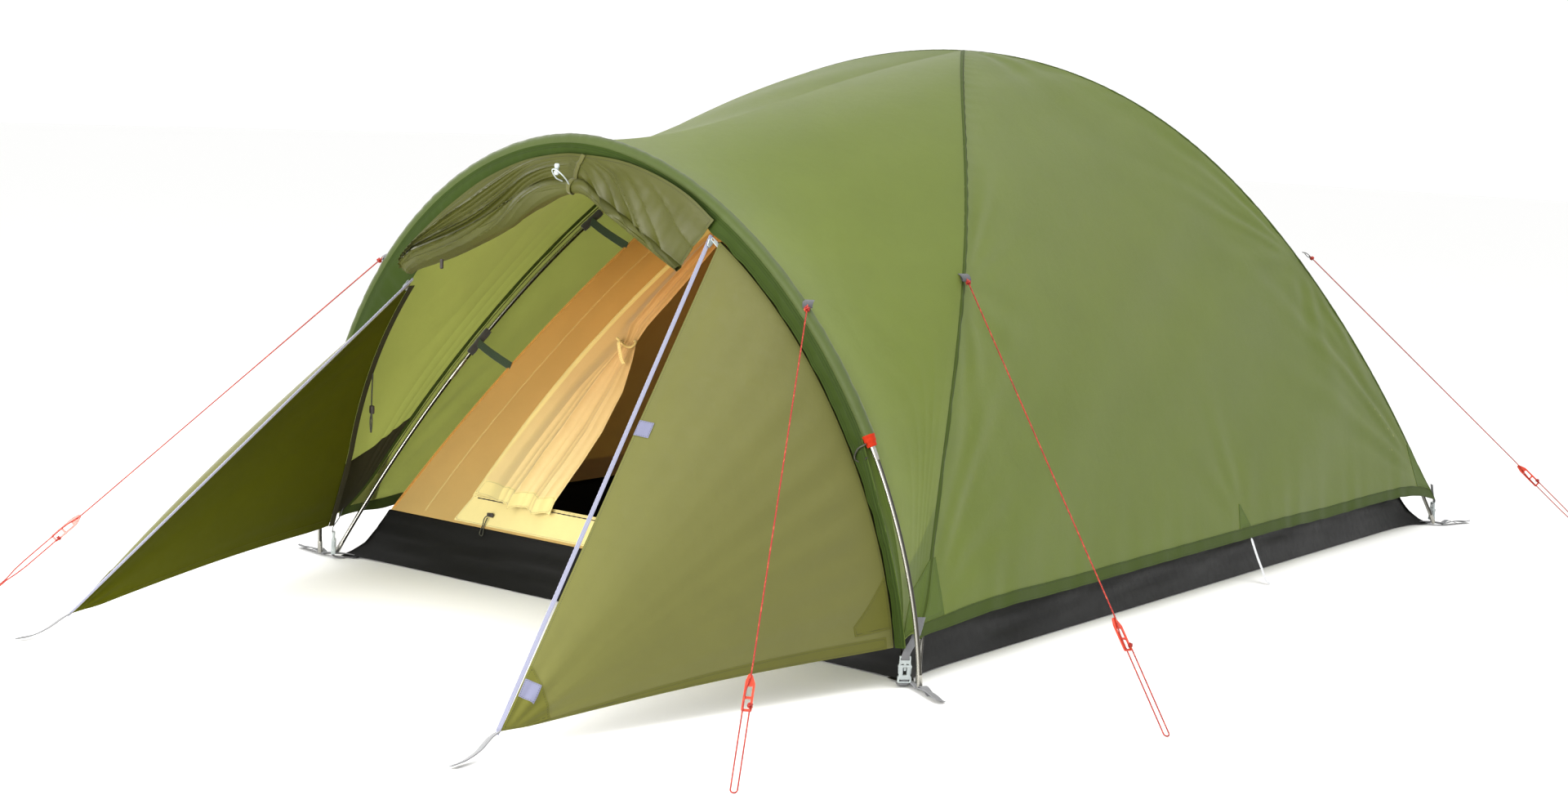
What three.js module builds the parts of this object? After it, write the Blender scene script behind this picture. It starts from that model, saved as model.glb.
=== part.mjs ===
// Two-person dome tent with a hooped vestibule, pitched, in millimetres.
// +Z is up, the door faces -Y, and the origin is on the ground under the middle of the groundsheet.
import * as THREE from 'three';

// ---------------------------------------------------------------- driving dimensions
const clothThickness = 2;
const seamGap = 3.5; // between neighbouring cloth panels

// flysheet dome, measured on the outside of the cloth
const dome = { halfWidth: 720, halfLength: 1143, height: 1073 };
const legBow = { fr: 0.052, fl: -0.012, rr: -0.018, rl: -0.012 }; // sideways bow of each ridge
const hemParameter = 0.962; // where the fly stops on its legs, about 90 mm above the ground
const apexParameter = 0.008;
const panelSag = 14;

// poles
const poleRadius = 4.25;
const poleDome = { halfWidth: 706, halfLength: 1128, height: 1056 };
const poleCrossing = 5.2; // each pole passes this far above or below the other at the apex
const footHeight = 5.2; // middle of each pole tip, which stands on the webbing

// vestibule hoop: a superellipse in a plane that leans forward
const hoop = { halfWidth: 724, height: 863, power: 1.88, footY: -1150, lean: 0.088 };
const sleeve = { outer: 12, inner: 7, endHeight: 414 };
const cap = { radius: 12.8, length: 20 };
const hoopSetback = 14.5; // cloth edges stop this far before and behind the hoop's centre line
const fabricFootHeight = 84;
const fabricFootInset = 30; // the cloth leaves the hoop inwards below the sleeve
const lip = { crown: 38, right: 33, left: 74, clearance: 8 }; // cloth band between the sleeve and the doors
const canopySag = { middle: 25, side: 48 }; // how far the canopy dips between dome and hoop

// vestibule panels
const vestibuleCorner = new THREE.Vector3(499, -1910, 32);
const zipTopX = { right: 330, left: 462 }; // where each door zip meets the hoop's lip
const zipWidth = 9;
const zipParking = 12; // how far below the zip's top each slider rests

// inner tent and groundsheet
const inner = { halfWidth: 655, halfLength: 1121, height: 1003, waist: 85, bottom: 0.955 };
const tub = { halfWidth: 655, halfLength: 1105, wallInset: 38, wallHeight: 99 };
const doorway = { top: 0.5, bottom: 0.93, footX: 392, slope: 767 };

// guy lines
const lineRadius = 1.2;
const loopHalfWidth = 5;
const runner = { length: 64, width: 15, thickness: 3, bar: 3.4 };

// ---------------------------------------------------------------- materials
const material = (color, roughness, metalness = 0) =>
  new THREE.MeshStandardMaterial({ color, roughness, metalness });
const flyGreen = material(0x8a9d58, 0.62);
const sleeveGreen = material(0x5d7a38, 0.62);
const panelOlive = material(0x8b8b4d, 0.6);
const doorOlive = material(0x7f8636, 0.55);
const innerOrange = material(0xd9a55c, 0.6);
const flapYellow = material(0xf0cf7e, 0.6);
const tubBlack = material(0x202124, 0.7);
const poleSilver = material(0xc9c9bf, 0.28, 0.9);
const webbingGrey = material(0xb4b6b9, 0.8);
const buckleGrey = material(0xaeb6b6, 0.4);
const zipGrey = material(0xb9b7cf, 0.6);
const darkPlastic = material(0x2c2a28, 0.5);
const lineOrange = material(0xc84a28, 0.7);
const runnerOrange = material(0xe0562a, 0.4);
const capOrange = material(0xe8472b, 0.6);
const elasticWhite = material(0xe6e8ea, 0.5);

const tent = new THREE.Group();
tent.name = 'dome_tent';

function addPiece(name, geometry, pieceMaterial) {
  const mesh = new THREE.Mesh(geometry, pieceMaterial);
  mesh.name = name;
  tent.add(mesh);
  return mesh;
}

// ---------------------------------------------------------------- geometry helpers
const vec = (x, y, z) => new THREE.Vector3(x, y, z);
const mix = (a, b, f) => a.clone().lerp(b, f);
const steps = (count) => Array.from({ length: count + 1 }, (_, k) => k / count);

function geometryFrom(points, faces) {
  const geometry = new THREE.BufferGeometry();
  const flat = points.flatMap((p) => [p.x, p.y, p.z]);
  geometry.setAttribute('position', new THREE.Float32BufferAttribute(flat, 3));
  geometry.setIndex(faces.flat());
  return geometry;
}

// A closed cloth panel: the rows of points are its outer face, and it is thickened towards `core`.
function clothPanel(rows, options = {}) {
  const { thickness = clothThickness, core = vec(0, 0, 250), keep = () => true } = options;
  const ids = new Map();
  const points = [];
  const idOf = (p) => {
    const key = `${Math.round(p.x * 50)},${Math.round(p.y * 50)},${Math.round(p.z * 50)}`;
    if (!ids.has(key)) {
      ids.set(key, points.length);
      points.push(p.clone());
    }
    return ids.get(key);
  };
  let faces = [];
  for (let i = 0; i + 1 < rows.length; i += 1) {
    for (let j = 0; j + 1 < rows[i].length; j += 1) {
      if (!keep(i, j)) continue;
      const [a, b] = [idOf(rows[i][j]), idOf(rows[i][j + 1])];
      const [c, d] = [idOf(rows[i + 1][j + 1]), idOf(rows[i + 1][j])];
      faces.push([a, b, c], [a, c, d]);
    }
  }
  faces = faces.filter((face) => new Set(face).size === 3);

  const normals = points.map(() => vec(0, 0, 0));
  let facing = 0;
  for (const [a, b, c] of faces) {
    const side = points[b].clone().sub(points[a]);
    const normal = side.cross(points[c].clone().sub(points[a]));
    facing += normal.dot(points[a].clone().sub(core));
    for (const id of [a, b, c]) normals[id].add(normal);
  }
  if (facing < 0) {
    faces = faces.map(([a, b, c]) => [a, c, b]);
    normals.forEach((normal) => normal.negate());
  }
  const count = points.length;
  const innerPoints = points.map((p, k) => p.clone().addScaledVector(normals[k].normalize(), -thickness));
  const edges = new Set(faces.flatMap(([a, b, c]) => [`${a},${b}`, `${b},${c}`, `${c},${a}`]));
  const rim = [];
  for (const edge of edges) {
    const [a, b] = edge.split(',').map(Number);
    if (edges.has(`${b},${a}`)) continue;
    rim.push([b, a, a + count], [b, a + count, b + count]);
  }
  const innerFaces = faces.map(([a, b, c]) => [a + count, c + count, b + count]);
  return geometryFrom([...points, ...innerPoints], [...faces, ...innerFaces, ...rim]);
}

// A path sampled at its own control points, so that straight runs stay cheap and bends stay fine.
class ControlPath extends THREE.CatmullRomCurve3 {
  getUtoTmapping(u) {
    return u;
  }
}

const ringShape = (radius, sides, hole = 0) => {
  const circle = (r) => steps(sides).slice(0, -1).map((f) => {
    const angle = f * 2 * Math.PI;
    return new THREE.Vector2(r * Math.cos(angle), r * Math.sin(angle));
  });
  const shape = new THREE.Shape(circle(radius));
  if (hole > 0) shape.holes.push(new THREE.Path(circle(hole)));
  return shape;
};

function tube(points, radius, sides = 8, hole = 0) {
  const path = new ControlPath(points, false, 'centripetal');
  const settings = { steps: points.length - 1, extrudePath: path, bevelEnabled: false, curveSegments: 1 };
  return new THREE.ExtrudeGeometry(ringShape(radius, sides, hole), settings);
}

// A flat strap along points, `across` being its width direction.
function strap(points, across, width, thickness, core) {
  const half = across.clone().normalize().multiplyScalar(width / 2);
  const rows = points.map((p) => [p.clone().sub(half), p.clone().add(half)]);
  return clothPanel(rows, { thickness, core });
}

// A closed solid through rings of points, one ring after another.
function loft(rings) {
  const points = rings.flat();
  const size = rings[0].length;
  const faces = [];
  rings.slice(1).forEach((_, i) => {
    for (let k = 0; k < size; k += 1) {
      const a = i * size + k;
      const b = i * size + ((k + 1) % size);
      faces.push([a, b + size, b], [a, a + size, b + size]);
    }
  });
  const last = points.length - size;
  for (let k = 1; k + 1 < size; k += 1) {
    faces.push([0, k, k + 1], [last, last + k + 1, last + k]);
  }
  return geometryFrom(points, faces);
}

// Rings of an oval section along a path: `wide` and `deep` are half sizes, level and across the path.
function bundle(stations, sides = 10) {
  const path = new ControlPath(stations.map((s) => s.at), false, 'centripetal');
  return loft(stations.map((s, i) => {
    const tangent = path.getTangent(i / (stations.length - 1));
    const level = tangent.clone().cross(vec(0, 1, 0)).normalize();
    const depth = level.clone().cross(tangent).normalize();
    return steps(sides).slice(0, -1).map((f) => {
      const angle = f * 2 * Math.PI;
      return s.at.clone()
        .addScaledVector(level, s.wide * Math.cos(angle))
        .addScaledVector(depth, s.deep * Math.sin(angle));
    });
  }));
}

function extruded(shape, depth) {
  return new THREE.ExtrudeGeometry(shape, { depth, bevelEnabled: false, curveSegments: 4 });
}

function outline(pairs) {
  return new THREE.Shape(pairs.map(([x, y]) => new THREE.Vector2(x, y)));
}

// ---------------------------------------------------------------- dome shape
const profile = (t) => 1 - 0.84 * t * t - 0.16 * t ** 4; // height along a leg, from 1 at the apex
const bowAt = (t) => Math.sin(Math.PI * Math.min(1, t) ** 1.6) ** 2;

function legPoint(shape, corner, t, lift = 0) {
  const sx = corner.endsWith('r') ? 1 : -1;
  const sy = corner.startsWith('f') ? -1 : 1;
  const x = sx * shape.halfWidth * (t + legBow[corner] * bowAt(t));
  return vec(x, sy * shape.halfLength * t, shape.height * profile(t) + lift * (1 - t * t));
}

// A dome panel between two legs, ruled level and slightly hollow in its middle.
function domePanel(cornerA, cornerB, sagAxis) {
  const rows = steps(12).map((f) => {
    const t = apexParameter + (hemParameter - apexParameter) * f ** 0.9;
    const from = legPoint(dome, cornerA, t);
    const to = legPoint(dome, cornerB, t);
    const inset = Math.min(0.4, seamGap / from.distanceTo(to));
    return steps(6).map((s) => {
      const point = mix(from, to, inset + s * (1 - 2 * inset));
      const hollow = panelSag * 4 * s * (1 - s) * Math.sin(Math.PI * f);
      return point.addScaledVector(sagAxis, -hollow);
    });
  });
  return clothPanel(rows);
}

addPiece('fly_right_panel', domePanel('fr', 'rr', vec(0.75, 0, 0.66)), flyGreen);
addPiece('fly_left_panel', domePanel('fl', 'rl', vec(-0.75, 0, 0.66)), flyGreen);
addPiece('fly_rear_panel', domePanel('rl', 'rr', vec(0, 0.6, 0.8)), flyGreen);

// ---------------------------------------------------------------- vestibule hoop
// angle 0 is the crown and +-90 degrees the feet; inset is towards the inside of the hoop
function hoopCentre(angle) {
  const power = 2 / hoop.power;
  const z = hoop.height * Math.cos(angle) ** power;
  const x = Math.sign(angle) * hoop.halfWidth * Math.abs(Math.sin(angle)) ** power;
  return vec(x, hoop.footY - hoop.lean * z, z);
}

function hoopPoint(angle, inset = 0, ahead = 0) {
  const step = 0.002;
  const tangent = hoopCentre(angle + step).sub(hoopCentre(angle - step));
  const inward = vec(-tangent.z, 0, tangent.x).normalize().negate();
  const point = hoopCentre(angle).addScaledVector(inward, inset);
  point.y = hoop.footY - hoop.lean * point.z - ahead;
  return point;
}
const hoopAngleAt = (z) => Math.acos((z / hoop.height) ** (hoop.power / 2));
const hoopAngleAtX = (x) => Math.asin((x / hoop.halfWidth) ** (hoop.power / 2));
const footAngle = hoopAngleAt(fabricFootHeight);

// how far the canopy stands inside the hoop: nothing on the sleeve, then pulled in to the corner
function footInset(angle) {
  const below = Math.max(0, 1 - hoopCentre(angle).z / sleeve.endHeight);
  return fabricFootInset * Math.min(1, below * 1.3) ** 0.8;
}

// inner edge of the lip, which the vestibule panels and the rolled door hang from
function lipInset(angle) {
  const towards = angle < 0 ? lip.left : lip.right;
  const wide = lip.crown + (towards - lip.crown) * Math.sin(Math.min(1, Math.abs(angle) / 0.9) * (Math.PI / 2));
  const nearFoot = Math.max(0, 1 - hoopCentre(angle).z / 260) ** 1.6;
  return wide + (fabricFootInset + 6 - wide) * Math.min(1, nearFoot * 1.6);
}

function canopy() {
  const columns = steps(16).map((f) => f * 2 - 1);
  const rows = steps(10).map((r) => columns.map((s) => {
    const t = hemParameter * Math.abs(s);
    const leg = legPoint(dome, s < 0 ? 'fl' : 'fr', t);
    leg.x -= Math.sign(s) * Math.min(Math.abs(leg.x), 2.6);
    leg.y -= 1.6;
    const angle = footAngle * s;
    const point = mix(leg, hoopPoint(angle, footInset(angle), -hoopSetback), r);
    const reach = Math.abs(s);
    const sag = canopySag.middle * (1 - reach) + canopySag.side * 4 * reach * (1 - reach);
    point.z -= sag * (1 - reach ** 4) * Math.sin(Math.PI * r ** (1 + 1.6 * (1 - reach)));
    return point;
  }));
  return clothPanel(rows, { core: vec(0, -600, 200) });
}
addPiece('fly_front_canopy', canopy(), flyGreen);

const sleeveAngle = hoopAngleAt(sleeve.endHeight);
const hoopPath = (limit, count) => steps(count).map((f) => hoopPoint(limit * (f * 2 - 1)));
addPiece('arch_sleeve', tube(hoopPath(sleeveAngle, 30), sleeve.outer, 8, sleeve.inner), sleeveGreen);

for (const side of ['right', 'left']) {
  const sign = side === 'right' ? 1 : -1;
  const top = hoopPoint(sign * (sleeveAngle + 0.002));
  const path = [0, 1, 2].map((k) => hoopPoint(sign * hoopAngleAt(top.z - 1 - (k * cap.length) / 2)));
  addPiece(`sleeve_cap_${side}`, tube(path, cap.radius, 10, sleeve.inner), capOrange);
}

// ---------------------------------------------------------------- poles
function mainPole(frontCorner, rearCorner, lift) {
  const footSlope = 2.32; // the leg profile's slope at the ground
  const foot = 1 - footHeight / (footSlope * poleDome.height);
  const half = (corner) => steps(14).map((f) => legPoint(poleDome, corner, foot * (1 - f ** 1.15), lift));
  const front = half(frontCorner);
  const rear = half(rearCorner).reverse().slice(1);
  return tube([...front, ...rear], poleRadius);
}
addPiece('main_pole_a', mainPole('fr', 'rl', poleCrossing), poleSilver);
addPiece('main_pole_b', mainPole('fl', 'rr', -poleCrossing), poleSilver);
addPiece('arch_pole', tube(hoopPath(hoopAngleAt(footHeight), 30), poleRadius), poleSilver);

// hook-and-loop ties that hold the fly to the front-left leg
const tieParameters = { upper: 0.62, lower: 0.79 };
for (const [name, t] of Object.entries(tieParameters)) {
  const before = legPoint(poleDome, 'fl', t - 0.012, -poleCrossing);
  const after = legPoint(poleDome, 'fl', t + 0.012, -poleCrossing);
  addPiece(`pole_tie_${name}`, tube([before, mix(before, after, 0.5), after], 8.2, 8, 6.3), darkPlastic);
}

// cloth band along the front of the hoop
const lipRows = steps(26).map((f) => {
  const angle = footAngle * (f * 2 - 1);
  const from = lip.clearance + Math.min(footInset(angle), 10);
  return [hoopPoint(angle, from, hoopSetback), hoopPoint(angle, lipInset(angle), hoopSetback)];
});
addPiece('arch_lip', clothPanel(lipRows, { core: vec(0, -600, 500) }), sleeveGreen);

// ---------------------------------------------------------------- vestibule panels, zips and sliders
const vestibuleCore = vec(0, -1300, 100);
for (const side of ['right', 'left']) {
  const sign = side === 'right' ? 1 : -1;
  const corner = vec(sign * vestibuleCorner.x, vestibuleCorner.y, vestibuleCorner.z);
  const lipEdge = (angle) => hoopPoint(sign * angle, lipInset(sign * angle) + 3, hoopSetback);
  const zipAngle = hoopAngleAtX(zipTopX[side]);
  const zipTop = lipEdge(zipAngle).add(vec(0, -4, -3));
  const zipDirection = corner.clone().sub(zipTop).normalize();
  const hemDirection = lipEdge(footAngle).sub(corner).normalize();
  const across = hemDirection.clone().addScaledVector(zipDirection, -hemDirection.dot(zipDirection));
  across.normalize();
  const outward = zipDirection.clone().cross(across).normalize();
  if (outward.dot(zipTop.clone().sub(vestibuleCore)) < 0) outward.negate();

  const rows = steps(9).map((u) => {
    const edge = lipEdge(zipAngle + (footAngle - zipAngle) * (0.055 + 0.945 * u));
    const tip = corner.clone().addScaledVector(hemDirection, 20 + 26 * u);
    return steps(6).map((v) => mix(edge, tip, v));
  });
  addPiece(`vestibule_${side}_panel`, clothPanel(rows, { core: vestibuleCore }), panelOlive);

  const zipLine = [zipTop, mix(zipTop, corner, 0.5), corner];
  const centred = zipLine.map((p) => p.clone().addScaledVector(across, zipWidth / 2));
  addPiece(`door_zip_${side}`, strap(centred, across, zipWidth, 1.6, vestibuleCore), zipGrey);

  // slider: a wedge with its pull, parked at the top of the chain
  const slider = extruded(outline([[-4.5, 0], [-3, -14], [3, -14], [4.5, 0], [2, 3], [-2, 3]]), 4);
  const sliderMesh = addPiece(`zip_slider_${side}`, slider, buckleGrey);
  const up = zipDirection.clone().negate();
  const sideways = up.clone().cross(outward).normalize();
  sliderMesh.setRotationFromMatrix(new THREE.Matrix4().makeBasis(sideways, up, outward));
  sliderMesh.position.copy(zipTop).addScaledVector(zipDirection, zipParking);
  sliderMesh.position.addScaledVector(across, zipWidth / 2).addScaledVector(outward, 0.6);

  // webbing that pegs the front corner of the panel to the ground
  const strapPath = [
    corner.clone().add(vec(sign * 1.5, -5, -1)),
    vec(sign * 503, -1962, 3.5),
    vec(sign * 505, -1975, 2),
    vec(sign * 507, -2010, 2),
  ];
  const pegStrap = strap(strapPath, vec(1, 0, 0), 14, 2, vec(sign * 503, -1960, -300));
  addPiece(`vestibule_peg_strap_${side}`, pegStrap, webbingGrey);
}

// rolled door, hanging under the hoop and tied in the middle
const rollStations = [
  { at: vec(-416, -1247, 610), wide: 12, deep: 8 },
  { at: vec(-394, -1249, 630), wide: 30, deep: 15 },
  { at: vec(-348, -1252, 658), wide: 36, deep: 18 },
  { at: vec(-265, -1258, 700), wide: 45, deep: 20 },
  { at: vec(-168, -1264, 746), wide: 48, deep: 20 },
  { at: vec(-81, -1268, 784), wide: 42, deep: 19 },
  { at: vec(-6, -1270, 803), wide: 34, deep: 17 },
  { at: vec(66, -1269, 797), wide: 40, deep: 18 },
  { at: vec(140, -1266, 772), wide: 50, deep: 19 },
  { at: vec(206, -1262, 736), wide: 52, deep: 17 },
  { at: vec(262, -1258, 700), wide: 38, deep: 12 },
];
addPiece('rolled_door', bundle(rollStations), doorOlive);

const toggle = new THREE.CylinderGeometry(4.5, 4.5, 20, 10);
addPiece('door_tie_toggle', toggle, buckleGrey).position.set(24, -1299, 814);

// ---------------------------------------------------------------- inner tent
const innerX = (t) => inner.halfWidth * t - inner.waist * Math.sin(Math.PI * t ** 1.5);
const innerPoint = (t, x, y) => vec(x, y, inner.height * profile(t));
const innerRows = steps(10).map((f) => 0.012 + (inner.bottom - 0.012) * f ** 0.9);

for (const side of ['right', 'left']) {
  const sign = side === 'right' ? 1 : -1;
  const rows = innerRows.map((t) => {
    const reach = inner.halfLength * t - seamGap;
    return steps(5).map((s) => innerPoint(t, sign * innerX(t), reach * (s * 2 - 1)));
  });
  addPiece(`inner_${side}_wall`, clothPanel(rows), innerOrange);
}

const rearRows = innerRows.map((t) => {
  const reach = innerX(t) - 2.4;
  return steps(5).map((s) => innerPoint(t, reach * (s * 2 - 1), inner.halfLength * t));
});
addPiece('inner_rear_wall', clothPanel(rearRows), innerOrange);

// the front wall has a doorway whose sides lean together towards the top
const doorHalfWidth = (t) => doorway.footX + (t - doorway.bottom) * doorway.slope;
function innerFront() {
  const levels = [0.012, 0.1, 0.2, 0.3, 0.4, doorway.top, 0.6, 0.7, 0.78, 0.86, doorway.bottom, inner.bottom];
  const rows = levels.map((t) => {
    const reach = innerX(t) - 2.4;
    const doorEdge = t < doorway.top ? reach * 0.3 : Math.min(doorHalfWidth(t), reach * 0.86);
    const side = steps(2).map((s) => reach + (doorEdge - reach) * s);
    const middle = steps(4).map((s) => doorEdge * (s * 2 - 1));
    const xs = [...side.map((x) => -x), ...middle.slice(1, -1), ...side.reverse()];
    return xs.map((x) => innerPoint(t, x, -inner.halfLength * t));
  });
  const first = levels.indexOf(doorway.top);
  const end = levels.indexOf(doorway.bottom);
  const keep = (i, j) => !(i >= first && i < end && j >= 2 && j < 6);
  return clothPanel(rows, { keep });
}
addPiece('inner_front_wall', innerFront(), innerOrange);

// door flap of the inner tent, gathered at its left edge and tied half way up
const frontAt = (t, x, ahead) => innerPoint(t, x, -inner.halfLength * t - ahead);
const flapStations = [
  { at: frontAt(0.54, -78, 32), wide: 19, deep: 10 },
  { at: frontAt(0.62, -124, 34), wide: 30, deep: 13 },
  { at: frontAt(0.7, -172, 34), wide: 38, deep: 14 },
  { at: frontAt(0.755, -202, 34), wide: 46, deep: 14 },
  { at: frontAt(0.81, -220, 36), wide: 72, deep: 16 },
  { at: frontAt(0.88, -256, 38), wide: 88, deep: 18 },
  { at: frontAt(0.922, -284, 40), wide: 90, deep: 18 },
];
addPiece('inner_door_flap', bundle(flapStations), flapYellow);

const flapTie = frontAt(0.752, -160, 66);
const tieLoop = [flapTie, flapTie.clone().add(vec(4, -3, -18)), flapTie.clone().add(vec(14, -4, -38))];
addPiece('inner_door_tie', tube(tieLoop, 3.2), flapYellow);

const innerSlider = new THREE.BoxGeometry(16, 4, 8);
const sliderAt = frontAt(0.9425, -340, 7);
addPiece('inner_zip_slider', innerSlider, darkPlastic).position.copy(sliderAt);

// groundsheet with raised walls
function tubGeometry() {
  const grid = [-1, -0.995, 0, 0.995, 1];
  const rows = grid.map((u) => grid.map((v) => {
    const edge = Math.max(Math.abs(u), Math.abs(v)) === 1;
    if (!edge) return vec(u * tub.halfWidth, v * tub.halfLength, 0);
    const x = Math.sign(u) * Math.min(Math.abs(u) * tub.halfWidth, tub.halfWidth - tub.wallInset);
    const y = Math.sign(v) * Math.min(Math.abs(v) * tub.halfLength, tub.halfLength - tub.wallInset);
    return vec(x, y, tub.wallHeight);
  }));
  return clothPanel(rows, { core: vec(0, 0, 60), thickness: 2.4 });
}
addPiece('groundsheet_tub', tubGeometry(), tubBlack);

// ---------------------------------------------------------------- corners: webbing, side-release buckles
const webbingTail = {
  fr: vec(794, -1190, 0),
  fl: vec(-812, -1128, 0),
  rr: vec(752, 1236, 0),
  rl: vec(-790, 1196, 0),
};
// the catch plate with two prongs, and the body it clicks into from above
const catchOutline = [
  [-9, 34], [9, 34], [9, 22], [6.6, 20], [7.6, 8], [5.2, 1], [3.6, 6], [3.6, 17],
  [-3.6, 17], [-3.6, 6], [-5.2, 1], [-7.6, 8], [-6.6, 20], [-9, 22],
];
const bodyShape = outline([[-11.5, -4.5], [11.5, -4.5], [11.5, 4.5], [-11.5, 4.5]]);
const bodySlot = [[-9.2, -2.7], [-9.2, 2.7], [9.2, 2.7], [9.2, -2.7]].map(([x, y]) => new THREE.Vector2(x, y));
bodyShape.holes.push(new THREE.Path(bodySlot));

for (const corner of ['fr', 'fl', 'rr', 'rl']) {
  const sx = corner.endsWith('r') ? 1 : -1;
  const sy = corner.startsWith('f') ? -1 : 1;
  const tail = webbingTail[corner];
  const start = vec(sx * 665, sy * 1114, 2);
  const foot = vec(sx * 716, sy * 1142, 2);
  const end = vec(tail.x, tail.y, 2);
  const across = end.clone().sub(start).cross(vec(0, 0, 1));
  const path = [start, foot, mix(foot, end, 0.5), end];
  addPiece(`corner_webbing_${corner}`, strap(path, across, 20, 2, vec(foot.x, foot.y, -300)), webbingGrey);

  const turn = (-sx * sy * Math.PI) / 4;
  const at = vec(sx * 690, sy * 1146, 8);
  const body = addPiece(`buckle_body_${corner}`, extruded(bodyShape, 30), buckleGrey);
  body.rotation.z = turn;
  body.position.copy(at);
  const plate = extruded(outline(catchOutline), 4.6).translate(0, 0, -2.3).rotateX(Math.PI / 2);
  const latch = addPiece(`buckle_catch_${corner}`, plate, buckleGrey);
  latch.rotation.z = turn;
  latch.position.copy(at).add(vec(0, 0, 11));
}

// clear elastic peg loops at the middle of each side hem
for (const [side, sign] of [['right', 1], ['left', -1]]) {
  const path = [vec(sign * 699, 124, 84), vec(sign * 722, 128, 30), vec(sign * 737, 131, 3), vec(sign * 742, 132, 2)];
  addPiece(`side_peg_loop_${side}`, strap(path, vec(0, 1, 0), 8, 1.6, vec(0, 130, 0)), elasticWhite);
}

// ---------------------------------------------------------------- guy lines and their runners
const guys = {
  arch_right: { tab: vec(502, -1208, 618), peg: vec(856, -1809, 2), at: 0.785 },
  arch_left: { tab: vec(-502, -1208, 618), peg: vec(-856, -1809, 2), at: 0.785 },
  front_right: { tab: vec(524, -762, 648), peg: vec(1148, -1095, 2), at: 0.765 },
  front_left: { tab: vec(-492, -762, 648), peg: vec(-1130, -1095, 2), at: 0.765 },
  rear_right: { tab: vec(492, 762, 648), peg: vec(1130, 1095, 2), at: 0.705 },
  rear_left: { tab: vec(-492, 762, 648), peg: vec(-1130, 1095, 2), at: 0.705 },
};

const runnerTurn = { arch_left: 1.3, rear_left: 1.3, rear_right: -1.3 };

// plate with two windows and a hook end
function runnerGeometry() {
  const half = runner.width / 2;
  const shape = outline([
    [-half, 0], [half, 0], [half, runner.length - 14], [half - 5, runner.length],
    [half - 10, runner.length - 3], [-half, runner.length - 16],
  ]);
  const windowHeight = (runner.length - 18 - 3 * runner.bar) / 2;
  for (const k of [0, 1]) {
    const low = runner.bar + k * (windowHeight + runner.bar);
    const inside = half - runner.bar;
    const corners = [[-inside, low], [-inside, low + windowHeight], [inside, low + windowHeight], [inside, low]];
    shape.holes.push(new THREE.Path(corners.map(([x, y]) => new THREE.Vector2(x, y))));
  }
  return extruded(shape, runner.thickness);
}

for (const [name, guy] of Object.entries(guys)) {
  const along = guy.peg.clone().sub(guy.tab).normalize();
  const level = along.clone().cross(vec(0, 0, 1)).normalize();
  const over = level.clone().cross(along).normalize();
  const total = guy.tab.distanceTo(guy.peg);
  const runnerStart = total * guy.at;
  // three of the runners hang on edge: the two strands turn with the runner and lie flat again at the peg
  const hang = runnerTurn[name] ?? 0;
  const on = (distance, sideways) => {
    const f = Math.min(1, Math.max(0, (distance - runnerStart - 130) / (total - runnerStart - 155)));
    const angle = hang * (1 - f * f * (3 - 2 * f));
    return guy.tab.clone().addScaledVector(along, distance)
      .addScaledVector(level, sideways * Math.cos(angle)).addScaledVector(over, sideways * Math.sin(angle));
  };
  const loopCentre = total - loopHalfWidth;
  const turn = steps(6).map((f) => {
    const angle = Math.PI * (0.5 - f);
    return on(loopCentre + loopHalfWidth * Math.cos(angle), loopHalfWidth * Math.sin(angle));
  });
  const path = [
    ...[0, 0.04, 0.35, 0.7, 0.96].map((f) => on(runnerStart * f, 0)),
    on(runnerStart + 12, 1.5),
    on(runnerStart + 30, loopHalfWidth - 0.7),
    ...[0, 0.35, 0.56, 0.75, 0.95].map((f) => on(runnerStart + 48 + (loopCentre - runnerStart - 48) * f, loopHalfWidth)),
    ...turn,
    ...[0.95, 0.75, 0.54, 0.35, 0].map((f) => on(runnerStart + 56 + (loopCentre - runnerStart - 56) * f, -loopHalfWidth)),
  ];
  addPiece(`guy_line_${name}`, tube(path, lineRadius), lineOrange);

  const plate = addPiece(`line_runner_${name}`, runnerGeometry(), runnerOrange);
  const width = level.clone().multiplyScalar(Math.cos(hang)).addScaledVector(over, Math.sin(hang));
  const face = over.clone().multiplyScalar(Math.cos(hang)).addScaledVector(level, -Math.sin(hang));
  const basis = new THREE.Matrix4().makeBasis(width, along.clone().negate(), face.clone().negate());
  plate.setRotationFromMatrix(basis);
  plate.position.copy(on(runnerStart + runner.length, 0)).addScaledVector(face, -lineRadius - 0.5);
}

export default tent;
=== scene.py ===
"""A pitched two-person dome tent: cloth, poles, buckles and lines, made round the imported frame.

Shapes are worked out in millimetres along the frame's own axes, and every mesh is made in metres.
"""

import math

import bpy
import numpy as np
from mathutils import Matrix, Vector


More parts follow.
